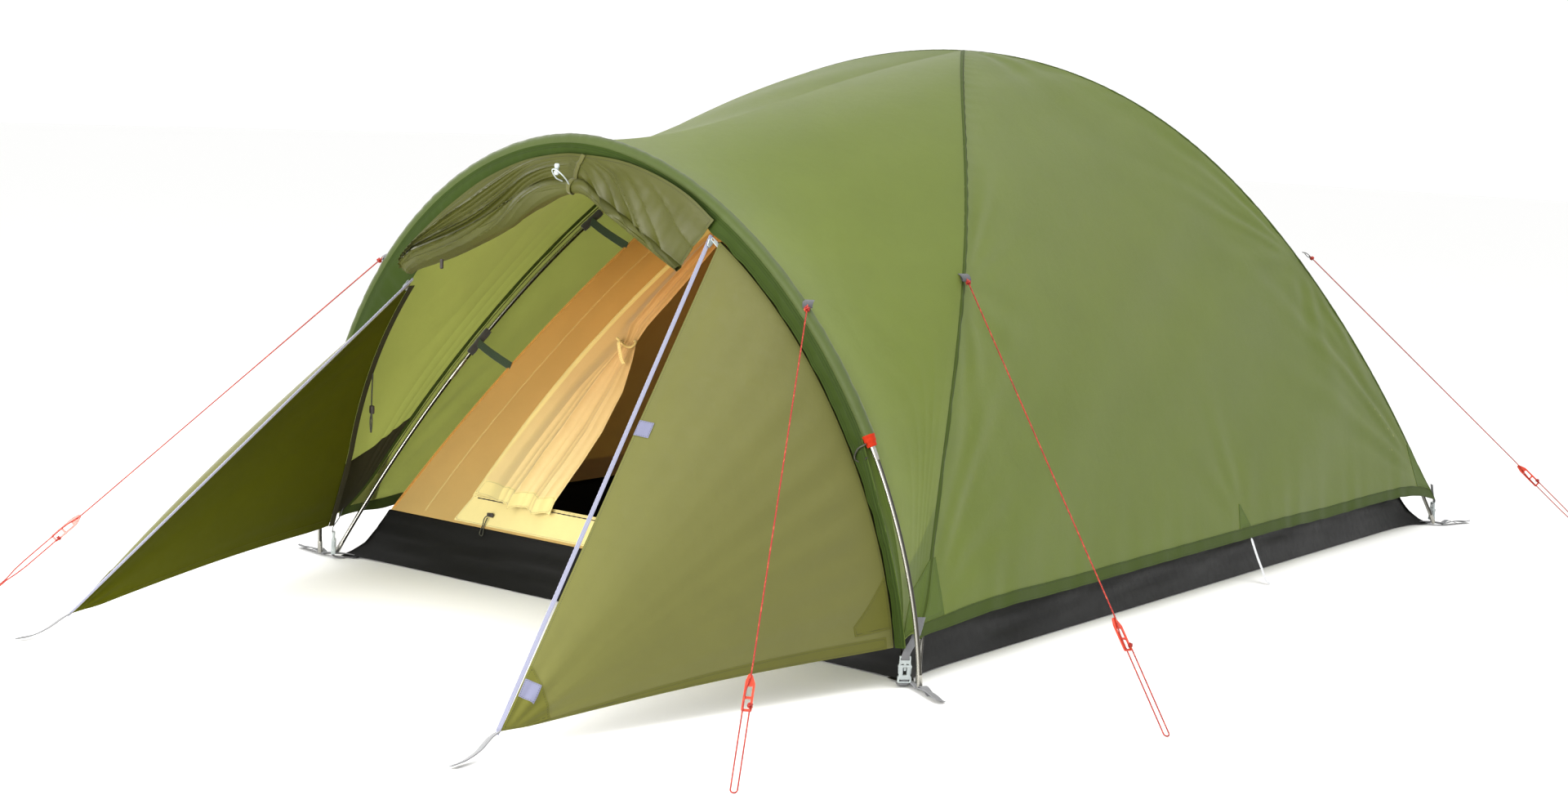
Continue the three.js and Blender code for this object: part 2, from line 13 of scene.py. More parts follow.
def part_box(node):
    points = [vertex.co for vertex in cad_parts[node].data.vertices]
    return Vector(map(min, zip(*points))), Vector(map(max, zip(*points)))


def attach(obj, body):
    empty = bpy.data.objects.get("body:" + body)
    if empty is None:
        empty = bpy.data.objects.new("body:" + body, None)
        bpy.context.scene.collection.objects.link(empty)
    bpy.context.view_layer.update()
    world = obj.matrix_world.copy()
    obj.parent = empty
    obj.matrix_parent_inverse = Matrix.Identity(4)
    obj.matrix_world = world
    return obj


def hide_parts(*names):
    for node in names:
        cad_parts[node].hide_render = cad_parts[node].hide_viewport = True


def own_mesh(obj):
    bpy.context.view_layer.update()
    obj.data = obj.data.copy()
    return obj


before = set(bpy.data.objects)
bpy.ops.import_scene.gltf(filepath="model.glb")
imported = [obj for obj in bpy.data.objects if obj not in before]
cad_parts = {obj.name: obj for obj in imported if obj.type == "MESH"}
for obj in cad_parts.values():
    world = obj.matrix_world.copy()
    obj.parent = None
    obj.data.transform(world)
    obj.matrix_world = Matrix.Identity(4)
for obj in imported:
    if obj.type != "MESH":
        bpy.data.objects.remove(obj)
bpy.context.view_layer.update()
UNIT = 0.001
TENT = "tent"


# ------------------------------------------------------------------ camera
def add_camera():
    data = bpy.data.cameras.new("camera")
    data.sensor_width = 36.0
    data.lens = 52.9
    camera = bpy.data.objects.new("camera", data)
    heading = Matrix.Rotation(0.6411, 4, "Z")
    tilt = Matrix.Rotation(math.pi / 2 - 0.1294, 4, "X")
    roll = Matrix.Rotation(0.0468, 4, "Z")
    camera.matrix_world = Matrix.Translation((2.7301, -4.2463, 0.9495)) @ heading @ tilt @ roll
    bpy.context.collection.objects.link(camera)
    bpy.context.scene.camera = camera


add_camera()
bpy.context.scene.view_settings.view_transform = "Standard"


# ------------------------------------------------------------------ small maths
def unit(v):
    v = np.asarray(v, float)
    return v / np.maximum(np.linalg.norm(v, axis=-1, keepdims=True), 1e-9)


def point(x, y, z):
    return np.stack(np.broadcast_arrays(x, y, z), axis=-1).astype(float)


def smooth(x):
    x = np.clip(x, 0, 1)
    return x * x * (3 - 2 * x)


def ripples(u, v, seed, scale, heading=0.0, spread=math.pi, waves=9):
    """Smooth pseudo-random waves, about -1 to 1, of about that wavelength in mm."""
    rng = np.random.default_rng(seed)
    total = 0.0
    for _ in range(waves):
        angle = heading + rng.uniform(-spread, spread)
        length = scale * rng.uniform(0.6, 1.7)
        phase = rng.uniform(0, 2 * math.pi)
        total = total + np.sin(2 * math.pi * (u * math.cos(angle) + v * math.sin(angle)) / length + phase)
    return total / math.sqrt(waves) / 1.3


def folds(x, sharp=0.6):
    """A row of cloth folds: rounded valleys between sharper ridges, 0 to 1, one per unit of x."""
    return 1 - np.abs(np.sin(math.pi * x)) ** sharp


def radiating(u, v, centre, reach, count, seed):
    """Tension folds that run out of a pulled point and fade with distance."""
    du, dv = u - centre[0], v - centre[1]
    distance = np.hypot(du, dv)
    angle = np.arctan2(dv, du)
    wave = np.sin(angle * count + seed) + 0.6 * np.sin(angle * count * 1.7 + 2.1 * seed) * smooth((distance - 90) / 120)
    return wave * np.exp(-distance / reach) * smooth((distance - 35) / 110)


# ------------------------------------------------------------------ materials
def node(tree, kind, inputs=None, **settings):
    made = tree.nodes.new("ShaderNode" + kind)
    for key, value in settings.items():
        setattr(made, key, value)
    for key, value in (inputs or {}).items():
        if isinstance(value, bpy.types.NodeSocket):
            tree.links.new(value, made.inputs[key])
        else:
            made.inputs[key].default_value = value
    return made


def maths(tree, operation, a, b=0.0):
    return node(tree, "Math", {0: a, 1: b}, operation=operation).outputs[0]


def mixed(tree, factor, a, b):
    return node(tree, "Mix", {0: factor, 6: a, 7: b}, data_type="RGBA").outputs[2]


def linear(colour, gain=1.0):
    """An sRGB colour of 0 to 255 as linear RGBA."""
    parts = [min(1.0, max(0.0, c * gain / 255)) for c in colour]
    return tuple([c / 12.92 if c <= 0.04045 else ((c + 0.055) / 1.055) ** 2.4 for c in parts] + [1.0])


def new_material(name, roughness, metallic=0.0):
    material = bpy.data.materials.new(name)
    material.use_nodes = True
    tree = material.node_tree
    shader = tree.nodes["Principled BSDF"]
    shader.inputs["Roughness"].default_value = roughness
    shader.inputs["Metallic"].default_value = metallic
    return material, tree, shader


def stitch_mask(tree, rows, dash=3.6):
    """Dashed lines of thread at the given distances, in mm, from the borders of a sheet."""
    edge = node(tree, "Attribute", attribute_name="edge").outputs["Fac"]
    run = node(tree, "Attribute", attribute_name="run").outputs["Fac"]
    wave = maths(tree, "SINE", maths(tree, "MULTIPLY", run, 2 * math.pi / dash))
    dashes = maths(tree, "GREATER_THAN", wave, -0.35)
    total = None
    for row in rows:
        near = maths(tree, "ABSOLUTE", maths(tree, "SUBTRACT", edge, row))
        line = maths(tree, "MULTIPLY", maths(tree, "LESS_THAN", near, 0.55), dashes)
        total = line if total is None else maths(tree, "ADD", total, line)
    return total


def cloth_material(name, colour, roughness=0.55, sheen=0.25, through=0.3, rows=(), thread=None, weave=0.7, tone=0.08, glow=None, specular=0.35, upper=None):
    """Woven cloth: fine warp and weft, soft mottling, faint crinkles, rows of stitches near its borders.

    `glow` is the colour of light that comes through it, and `upper` the colour it fades to 0.7 m up: painted shade,
    darker and oranger at the top than low down, where more light falls.
    """
    material, tree, shader = new_material(name, roughness)
    where = node(tree, "TexCoord").outputs["Object"]
    cloud = node(tree, "TexNoise", {"Vector": where, "Scale": 7.0, "Detail": 6.0, "Roughness": 0.6}).outputs["Fac"]
    base = mixed(tree, cloud, linear(colour, 1 - tone), linear(colour, 1 + tone))
    # painted shade: from 0.1 m to 0.7 m up the colour fades to a darker, oranger one, as if less light reached the top
    if upper:
        level = node(tree, "SeparateXYZ", {0: where}).outputs[2]
        fade = node(tree, "MapRange", {"Value": level, "From Min": 0.1, "From Max": 0.7}).outputs[0]
        base = mixed(tree, fade, base, linear(upper))
    fleck = node(tree, "TexNoise", {"Vector": where, "Scale": 900.0, "Detail": 2.0}).outputs["Fac"]
    base = mixed(tree, maths(tree, "MULTIPLY", fleck, 0.25), base, linear(colour, 0.75))

    plan = node(tree, "SeparateXYZ", {0: node(tree, "TexCoord").outputs["UV"]})
    warp = maths(tree, "SINE", maths(tree, "MULTIPLY", plan.outputs[0], 2 * math.pi / (weave * UNIT)))
    weft = maths(tree, "SINE", maths(tree, "MULTIPLY", plan.outputs[1], 2 * math.pi / (weave * UNIT)))
    weave_height = maths(tree, "MULTIPLY", warp, weft)
    crinkle = node(tree, "TexNoise", {"Vector": where, "Scale": 55.0, "Detail": 5.0, "Distortion": 0.6}).outputs["Fac"]
    bump = node(tree, "Bump", {"Strength": 0.25, "Distance": 0.0001, "Height": weave_height})
    bump = node(tree, "Bump", {"Strength": 0.35, "Distance": 0.0012, "Height": crinkle, "Normal": bump.outputs[0]})
    if rows:
        mask = stitch_mask(tree, rows)
        base = mixed(tree, maths(tree, "MULTIPLY", mask, 0.7), base, linear(thread or colour, 1.0 if thread else 0.55))
        bump = node(tree, "Bump", {"Strength": 0.6, "Distance": 0.0006, "Height": mask, "Normal": bump.outputs[0]})
    tree.links.new(base, shader.inputs["Base Color"])
    tree.links.new(bump.outputs[0], shader.inputs["Normal"])
    rough = node(tree, "MapRange", {"Value": crinkle, "To Min": roughness - 0.08, "To Max": roughness + 0.1})
    tree.links.new(rough.outputs[0], shader.inputs["Roughness"])
    shader.inputs["Sheen Weight"].default_value = sheen
    shader.inputs["Sheen Roughness"].default_value = 0.45
    shader.inputs["Specular IOR Level"].default_value = specular
    if through:
        passed = mixed(tree, cloud, linear(glow, 0.97), linear(glow, 1.03)) if glow else base
        lit = node(tree, "BsdfTranslucent", {"Color": passed, "Normal": bump.outputs[0]})
        mix = node(tree, "MixShader", {0: through, 1: shader.outputs[0], 2: lit.outputs[0]})
        tree.links.new(mix.outputs[0], tree.nodes["Material Output"].inputs["Surface"])
    return material


def hard_material(name, colour, roughness=0.4, metallic=0.0, grain=300.0, tone=0.06, coat=0.0, relief=0.2, painted_shade_side=None):
    """Moulded plastic or metal with fine grain, faint handling marks and uneven gloss.

    The last argument paints shade: it darkens the side of a thin bright tube that faces +X and down, standing in for
    the dark reflection a dark room behind it would give.
    """
    material, tree, shader = new_material(name, roughness, metallic)
    where = node(tree, "TexCoord").outputs["Object"]
    cloud = node(tree, "TexNoise", {"Vector": where, "Scale": 60.0, "Detail": 4.0}).outputs["Fac"]
    fine = node(tree, "TexNoise", {"Vector": where, "Scale": grain, "Detail": 3.0}).outputs["Fac"]
    base = mixed(tree, cloud, linear(colour, 1 - tone), linear(colour, 1 + tone))
    # painted shade: the colour darkens on the side whose surface faces +X and down
    if painted_shade_side:
        facing = node(tree, "VectorMath", {0: node(tree, "NewGeometry").outputs["Normal"]}, operation="DOT_PRODUCT")
        facing.inputs[1].default_value = (0.80, 0.25, -0.55)
        side = node(tree, "MapRange", {"Value": facing.outputs["Value"], "From Min": -0.05, "From Max": 0.45}).outputs[0]
        base = mixed(tree, side, base, linear(painted_shade_side))
    tree.links.new(base, shader.inputs["Base Color"])
    rough = node(tree, "MapRange", {"Value": fine, "To Min": roughness * 0.75, "To Max": roughness * 1.3})
    tree.links.new(rough.outputs[0], shader.inputs["Roughness"])
    bump = node(tree, "Bump", {"Strength": relief, "Distance": 0.0002, "Height": fine})
    tree.links.new(bump.outputs[0], shader.inputs["Normal"])
    shader.inputs["Coat Weight"].default_value = coat
    return material


def webbing_material(name, colour, rib=1.6):
    """Narrow woven tape with ribs along it and a herringbone across, with painted shade: darker in the weave's hollows
    and lighter on its raised ribs.
    """
    material, tree, shader = new_material(name, 0.75)
    plan = node(tree, "SeparateXYZ", {0: node(tree, "TexCoord").outputs["UV"]})
    across = maths(tree, "MULTIPLY", plan.outputs[0], 2 * math.pi / (rib * UNIT))
    along = maths(tree, "MULTIPLY", plan.outputs[1], 2 * math.pi / (1.4 * UNIT))
    zigzag = maths(tree, "MULTIPLY", maths(tree, "SINE", across), 1.6)
    height = maths(tree, "MULTIPLY", maths(tree, "COSINE", maths(tree, "ADD", along, zigzag)), 0.5)
    height = maths(tree, "ADD", height, maths(tree, "MULTIPLY", maths(tree, "COSINE", across), 0.6))
    # painted shade: the colour follows the weave's height, darker in its hollows and lighter on its ribs
    shade = node(tree, "MapRange", {"Value": height, "From Min": -1.0, "From Max": 1.0, "To Min": 0.0, "To Max": 1.0})
    base = mixed(tree, shade.outputs[0], linear(colour, 0.82), linear(colour, 1.06))
    tree.links.new(base, shader.inputs["Base Color"])
    bump = node(tree, "Bump", {"Strength": 0.5, "Distance": 0.0004, "Height": height})
    tree.links.new(bump.outputs[0], shader.inputs["Normal"])
    shader.inputs["Sheen Weight"].default_value = 0.3
    return material


def braid_material(name, colour, fleck, pitch=2.6):
    """Braided cord with a light reflective fleck in each turn of the braid, and painted shade: darker in the braid's
    grooves and lighter on its raised turns.
    """
    material, tree, shader = new_material(name, 0.6)
    where = node(tree, "TexCoord").outputs["Object"]
    wave = node(tree, "TexWave", {"Vector": where, "Scale": 150.0, "Distortion": 2.0, "Detail": 2.0}, wave_type="RINGS")
    # painted shade: the colour follows the braid's height, darker in its grooves and lighter on its raised turns
    base = mixed(tree, wave.outputs["Fac"], linear(colour, 0.8), linear(colour, 1.1))
    spots = node(tree, "TexNoise", {"Vector": where, "Scale": 1000.0 / pitch / 2, "Detail": 0.0}).outputs["Fac"]
    mask = maths(tree, "GREATER_THAN", spots, 0.63)
    tree.links.new(mixed(tree, maths(tree, "MULTIPLY", mask, 0.35), base, linear(fleck)), shader.inputs["Base Color"])
    bump = node(tree, "Bump", {"Strength": 0.5, "Distance": 0.0003, "Height": wave.outputs["Fac"]})
    tree.links.new(bump.outputs[0], shader.inputs["Normal"])
    return material


fly_out = cloth_material("fly_outside", (97, 115, 36), rows=(4, 9), through=0.4, tone=0.05, glow=(196, 204, 140))
# partly the coated inner side's own paler colour, partly painted light: the fly's inner faces are coloured lighter for
# the light that comes through the cloth
fly_in = cloth_material("fly_inside", (158, 162, 84), roughness=0.6, sheen=0.1, through=0.55, tone=0.05, glow=(236, 240, 180))
fly_trim = cloth_material("fly_hem_tape", (56, 70, 20), roughness=0.65, rows=(3,), through=0.0, weave=1.1, sheen=0.05, specular=0.12)
# partly the seam tape's own green, partly painted shade: the tape is coloured darker for the shade of the crease along
# each ridge
fly_seam_and_crease_shade = cloth_material("fly_seam_tape", (58, 72, 20), roughness=0.7, rows=(3,), through=0.0, sheen=0.05, specular=0.12)
fly_patch = cloth_material("fly_patch", (74, 91, 28), rows=(2.5, 6), thread=(36, 48, 10), through=0.0, tone=0.05, sheen=0.05, specular=0.15)
# painted shade: the sleeve is coloured darker than the fly cloth it is made of, to hold down the light that falls on
# the top of the hoop
sleeve_cloth = cloth_material("sleeve_cloth", (66, 80, 26), rows=(3,), through=0.1)
# painted shade: the lip band is fly cloth, coloured dark for the shade it lies in, facing forward and down
lip_painted_shade_cloth = cloth_material("lip_painted_shade_cloth", (48, 64, 18), rows=(4, 8), through=0.1, specular=0.1, sheen=0.03)
olive_out = cloth_material("vestibule_outside", (98, 98, 38), rows=(4,), tone=0.05, through=0.15)
# partly the coated inner side's own dark olive, partly painted shade: the vestibule panels' inner faces are coloured
# dark for the shade they lie in
olive_in_coat_and_shade = cloth_material("vestibule_inside_coat_and_shade", (70, 73, 0), roughness=0.8, sheen=0.0, through=0.08, specular=0.1)
olive_trim = cloth_material("vestibule_trim", (84, 84, 24), roughness=0.6, rows=(3,), thread=(46, 46, 12), through=0.0, sheen=0.1, specular=0.2)
# partly dark edging, partly painted shade: dark strips laid by the lip's free edge, beside the front ridge poles and
# inside the canopy's sides, where shade falls
dark_trim_and_shade = cloth_material("dark_inner_trim_and_painted_shade", (40, 38, 14), roughness=0.8, sheen=0.0, rows=(3,), through=0.0)
green_tape = webbing_material("green_tape", (22, 46, 12))
# partly the door's own olive, partly painted shade: the rolled door is coloured darker than the vestibule cloth for the
# shade under the lip
door_cloth = cloth_material("door_cloth", (68, 70, 18), roughness=0.42, sheen=0.03, rows=(5,), through=0.1, tone=0.14, specular=0.35)
door_tie_cloth = cloth_material("door_tie_cloth", (80, 80, 24), rows=(2,), through=0.0)
# the inner tent's cloth, tapes and door flap fade upwards to painted shade
inner_out = cloth_material("inner_outside", (204, 178, 112), roughness=0.7, sheen=0.15, through=0.45, weave=0.9, tone=0.05, glow=(240, 204, 140), upper=(216, 150, 66))
inner_trim = cloth_material("inner_tape", (232, 218, 150), roughness=0.7, sheen=0.2, rows=(2.5,), through=0.2, upper=(240, 190, 104))
inner_seam = cloth_material("inner_seam", (212, 188, 122), roughness=0.7, sheen=0.15, rows=(2,), through=0.3, upper=(222, 162, 80))
tab_web = webbing_material("tab_webbing", (66, 67, 70))
inner_bind = cloth_material("inner_binding", (206, 146, 66), roughness=0.7, rows=(2,), through=0.1, sheen=0.1)
flap_cloth = cloth_material("flap_cloth", (244, 224, 164), roughness=0.6, sheen=0.2, through=0.35, upper=(222, 146, 60))
tub_cloth = cloth_material("tub_cloth", (19, 19, 18), roughness=0.4, sheen=0.0, through=0.0, rows=(5,), tone=0.15, specular=0.2)
grey_web = webbing_material("grey_webbing", (112, 113, 116))
white_elastic = webbing_material("white_elastic", (226, 228, 230), rib=1.0)
zip_tape = webbing_material("zip_tape", (152, 154, 178), rib=2.0)
hook_tape = cloth_material("hook_tape", (108, 110, 134), roughness=0.95, sheen=0.5, through=0.0, rows=(1.5,), weave=1.6)
# the pole gets painted shade on its side facing +X and down
metal_pole = hard_material("pole_alloy", (188, 186, 178), 0.28, 1.0, 300.0, 0.04, relief=0.03, painted_shade_side=(70, 68, 62))
pole_joint = hard_material("pole_joint", (170, 168, 160), 0.28, 1.0, 300.0, 0.03, relief=0.03)
buckle_grey = hard_material("buckle_plastic", (160, 168, 168), 0.32, coat=0.2)
slider_metal = hard_material("slider_metal", (170, 176, 178), 0.3, 0.9)
dark_plastic = hard_material("dark_plastic", (46, 40, 36), 0.5)
tie_cloth = webbing_material("tie_cloth", (44, 40, 34))
cap_cloth = cloth_material("cap_cloth", (170, 40, 10), roughness=0.7, rows=(3,), through=0.0, weave=1.2, sheen=0.05, specular=0.12)
cord_orange = braid_material("guy_cord", (150, 24, 6), (212, 96, 62))
cord_dark = braid_material("dark_cord", (40, 40, 26), (90, 88, 70))
runner_orange = hard_material("runner_plastic", (196, 50, 12), 0.3, coat=0.2)


# ------------------------------------------------------------------ making pieces
def keep_piece(obj, body=TENT, replaces=()):
    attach(obj, body)
    if replaces:
        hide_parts(*([replaces] if isinstance(replaces, str) else replaces))
    return obj


def mesh_object(name, points, faces, materials, face_materials=None, uv=None, facts=None, sharp=35):
    mesh = bpy.data.meshes.new(name)
    mesh.from_pydata((np.asarray(points) * UNIT).tolist(), [], [tuple(face) for face in faces])
    for material in materials:
        mesh.materials.append(material)
    if face_materials is not None:
        mesh.polygons.foreach_set("material_index", np.asarray(face_materials, np.int32))
    if uv is not None:
        corners = np.zeros(len(mesh.loops), np.int32)
        mesh.loops.foreach_get("vertex_index", corners)
        layer = mesh.uv_layers.new(name="UVMap")
        layer.data.foreach_set("uv", (np.asarray(uv)[corners] * UNIT).ravel())
    for key, values in (facts or {}).items():
        mesh.attributes.new(key, "FLOAT", "POINT").data.foreach_set("value", np.asarray(values, np.float32))
    mesh.shade_smooth()
    mesh.set_sharp_from_angle(angle=math.radians(sharp))
    mesh.validate()
    obj = bpy.data.objects.new(name, mesh)
    bpy.context.collection.objects.link(obj)
    return obj


def grid_normals(grid, core):
    along = np.gradient(grid, axis=1)
    down = np.gradient(grid, axis=0)
    normals = unit(np.cross(along, down))
    facing = np.sum(normals * (grid - np.asarray(core, float)))
    return (normals, 1) if facing >= 0 else (-normals, -1)


def cloth(name, grid, outside, inside=None, thickness=0.8, core=(0, 0, 250), keep=None, lift=0.0, edge=None):
    """A closed sheet of cloth: the grid of points is its outer face, thickened towards core."""
    rows, cols = grid.shape[:2]
    normals, sense = grid_normals(grid, core)
    outer = grid + normals * lift
    inner = outer - normals * thickness
    count = rows * cols
    index = np.arange(count).reshape(rows, cols)
    quads = np.stack([index[:-1, :-1], index[:-1, 1:], index[1:, 1:], index[1:, :-1]], -1)
    if keep is not None:
        quads = quads[keep]
    quads = quads.reshape(-1, 4)
    if sense < 0:
        quads = quads[:, ::-1]
    starts, ends = quads, np.roll(quads, -1, axis=1)
    codes = (starts * count + ends).ravel()
    open_edges = ~np.isin(codes, (ends * count + starts).ravel())
    a, b = starts.ravel()[open_edges], ends.ravel()[open_edges]
    rim = np.stack([b, a, a + count, b + count], -1)
    faces = np.concatenate([quads, quads[:, ::-1] + count, rim])
    which = np.concatenate([np.zeros(len(quads)), np.ones(len(quads)), np.zeros(len(rim))])

    step_u = np.linalg.norm(np.diff(grid, axis=1), axis=2)
    step_v = np.linalg.norm(np.diff(grid, axis=0), axis=2)
    u = np.concatenate([np.zeros((rows, 1)), np.cumsum(step_u, axis=1)], axis=1)
    v = np.concatenate([np.zeros((1, cols)), np.cumsum(step_v, axis=0)], axis=0)
    if edge is None:
        edge = np.minimum(np.minimum(u, u[:, -1:] - u), np.minimum(v, v[-1:] - v))
    flat = np.stack([u, v], -1).reshape(-1, 2)
    run = (u + v).ravel()
    used = np.unique(faces)
    renumber = np.zeros(2 * count, int)
    renumber[used] = np.arange(len(used))
    both = np.concatenate([outer.reshape(-1, 3), inner.reshape(-1, 3)])[used]
    facts = {"edge": np.tile(edge.ravel(), 2)[used], "run": np.tile(run, 2)[used]}
    return mesh_object(
        name, both, renumber[faces], [outside, inside or outside], which, np.tile(flat, (2, 1))[used], facts
    )


def area_of(grid):
    first = np.cross(grid[:-1, 1:] - grid[:-1, :-1], grid[1:, 1:] - grid[:-1, :-1])
    second = np.cross(grid[1:, 1:] - grid[:-1, :-1], grid[1:, :-1] - grid[:-1, :-1])
    return float(np.sum(np.linalg.norm(first, axis=2) + np.linalg.norm(second, axis=2)) / 2 * UNIT * UNIT)


def sample(surface, corners, across=12, down=12):
    """Points of a surface over the patch whose four corners are given in its own two parameters."""
    a, b = np.meshgrid(np.linspace(0, 1, across), np.linspace(0, 1, down))
    (s0, f0), (s1, f1), (s2, f2), (s3, f3) = corners
    s = (1 - b) * ((1 - a) * s0 + a * s1) + b * ((1 - a) * s3 + a * s2)
    f = (1 - b) * ((1 - a) * f0 + a * f1) + b * ((1 - a) * f3 + a * f2)
    return surface(s, f)


def ribbon(name, path, across, width, thickness, material, lift=0.0, outward=None, ends=0.0):
    """A flat tape along a path, closed, with soft edges. `ends` rounds its two ends by that many mm."""
    path = np.asarray(path, float)
    across = np.broadcast_to(unit(across), path.shape)
    tangent = unit(np.gradient(path, axis=0))
    up = unit(np.cross(tangent, across))
    if outward is not None and np.sum(up * np.asarray(outward, float)) < 0:
        up = -up
    length = np.concatenate([[0], np.cumsum(np.linalg.norm(np.diff(path, axis=0), axis=1))])
    from_end = np.minimum(length, length[-1] - length)
    shrink = np.ones(len(path)) if ends <= 0 else np.sqrt(1 - (1 - np.minimum(1, from_end / ends)) ** 2) * 0.75 + 0.25
    widths = np.broadcast_to(np.asarray(width, float), (len(path),)) / 2 * shrink
    section = [(-1, 0.15), (-0.93, 0.85), (-0.8, 1), (0, 1), (0.8, 1), (0.93, 0.85), (1, 0.15), (0.9, 0), (0, 0), (-0.9, 0)]
    rings = [
        path + across * (x * widths)[:, None] + up * (lift + h * thickness) for x, h in section
    ]
    points = np.stack(rings, axis=1).reshape(-1, 3)
    size = len(section)
    faces = []
    for i in range(len(path) - 1):
        for k in range(size):
            n = (k + 1) % size
            faces.append((i * size + k, i * size + n, (i + 1) * size + n, (i + 1) * size + k))
    last = (len(path) - 1) * size
    faces.append(tuple(range(size))[::-1])
    faces.append(tuple(last + k for k in range(size)))
    u = np.tile([x for x, _ in section], len(path)) * np.repeat(widths, size)
    v = np.repeat(length, size)
    facts = {"edge": np.repeat(widths, size) - np.abs(u), "run": v}
    obj = mesh_object(name, points, faces, [material], None, np.stack([u, v], -1), facts, 50)
    return face_out(obj)


def face_out(obj):
    """Turns a closed mesh's faces outwards."""
    mesh = obj.data
    mesh.calc_loop_triangles()
    volume = 0.0
    for triangle in mesh.loop_triangles:
        a, b, c = (mesh.vertices[k].co for k in triangle.vertices)
        volume += a.dot(b.cross(c))
    if volume < 0:
        mesh.flip_normals()
    return obj


def tube(name, path, radius, material, sides=14, closed=False):
    """A round tube along a path. `radius` is one number or one for each point."""
    path = np.asarray(path, float)
    radii = np.broadcast_to(np.asarray(radius, float), (len(path),))
    tangent = unit(np.gradient(path, axis=0))
    normal = np.zeros_like(path)
    start = np.cross(tangent[0], (0.0, 0.0, 1.0))
    if np.linalg.norm(start) < 1e-3:
        start = np.cross(tangent[0], (0.0, 1.0, 0.0))
    normal[0] = unit(start)
    for i in range(1, len(path)):
        normal[i] = unit(normal[i - 1] - tangent[i] * np.dot(normal[i - 1], tangent[i]))
    binormal = np.cross(tangent, normal)
    angles = np.linspace(0, 2 * math.pi, sides, endpoint=False)
    rings = path[:, None] + radii[:, None, None] * (
        np.cos(angles)[None, :, None] * normal[:, None] + np.sin(angles)[None, :, None] * binormal[:, None]
    )
    faces = []
    for i in range(len(path) - 1):
        for k in range(sides):
            n = (k + 1) % sides
            faces.append((i * sides + k, i * sides + n, (i + 1) * sides + n, (i + 1) * sides + k))
    last = (len(path) - 1) * sides
    faces.append(tuple(range(sides))[::-1])
    faces.append(tuple(last + k for k in range(sides)))
    length = np.concatenate([[0], np.cumsum(np.linalg.norm(np.diff(path, axis=0), axis=1))])
    uv = np.stack([np.tile(angles, len(path)) * np.repeat(radii, sides), np.repeat(length, sides)], -1)
    return face_out(mesh_object(name, rings.reshape(-1, 3), faces, [material], None, uv, None, 60))


def rounded(corners, radius, steps=3):
    """An outline with its corners rounded."""
    corners = [np.asarray(c, float) for c in corners]
    made = []
    for k, corner in enumerate(corners):
        before, after = corners[k - 1], corners[(k + 1) % len(corners)]
        reach_in = min(radius, np.linalg.norm(before - corner) * 0.45)
        reach_out = min(radius, np.linalg.norm(after - corner) * 0.45)
        start = corner + unit(before - corner) * reach_in
        end = corner + unit(after - corner) * reach_out
        for f in np.linspace(0, 1, steps + 1):
            made.append((1 - f) ** 2 * start + 2 * f * (1 - f) * corner + f * f * end)
    return made


def plate(name, outlines, depth, bevel, material, placement):
    """A moulded plate with rounded edges: the first outline is its rim and the others are holes."""
    curve = bpy.data.curves.new(name, "CURVE")
    curve.dimensions = "2D"
    curve.fill_mode = "BOTH"
    curve.extrude = (depth / 2 - bevel) * UNIT
    curve.bevel_depth = bevel * UNIT
    curve.bevel_resolution = 2
    curve.offset = -bevel * UNIT
    for outline in outlines:
        spline = curve.splines.new("POLY")
        spline.points.add(len(outline) - 1)
        for target, (x, y) in zip(spline.points, outline):
            target.co = (x * UNIT, y * UNIT, 0, 1)
        spline.use_cyclic_u = True
    holder = bpy.data.objects.new(name + "_curve", curve)
    bpy.context.collection.objects.link(holder)
    shown = holder.evaluated_get(bpy.context.evaluated_depsgraph_get())
    mesh = bpy.data.meshes.new_from_object(shown)
    bpy.data.objects.remove(holder)
    bpy.data.curves.remove(curve)
    mesh.name = name
    mesh.transform(placement)
    mesh.materials.clear()
    mesh.materials.append(material)
    mesh.shade_smooth()
    mesh.set_sharp_from_angle(angle=math.radians(40))
    obj = bpy.data.objects.new(name, mesh)
    bpy.context.collection.objects.link(obj)
    return obj


def placed(origin, x_axis, y_axis):
    """A placement from an origin in mm and two axes."""
    x = unit(x_axis)
    z = unit(np.cross(x, unit(y_axis)))
    y = np.cross(z, x)
    columns = Matrix([(x[k], y[k], z[k]) for k in range(3)]).to_4x4()
    return Matrix.Translation(Vector([float(c) * UNIT for c in origin])) @ columns


def resampled(points, spacing):
    """A polyline through smooth curve points at an even spacing."""
    points = np.asarray(points, float)
    keys = np.concatenate([[0], np.cumsum(np.linalg.norm(np.diff(points, axis=0), axis=1))])
    count = max(4, int(keys[-1] / spacing) + 1)
    wanted = np.linspace(0, keys[-1], count)
    slopes = np.gradient(points, keys, axis=0)
    made = []
    for x in wanted:
        k = min(int(np.searchsorted(keys, x, side="right")) - 1, len(points) - 2)
        h = keys[k + 1] - keys[k]
        f = (x - keys[k]) / h
        made.append(
            (2 * f**3 - 3 * f**2 + 1) * points[k]
            + (f**3 - 2 * f**2 + f) * h * slopes[k]
            + (-2 * f**3 + 3 * f**2) * points[k + 1]
            + (f**3 - f**2) * h * slopes[k + 1]
        )
    return np.array(made)


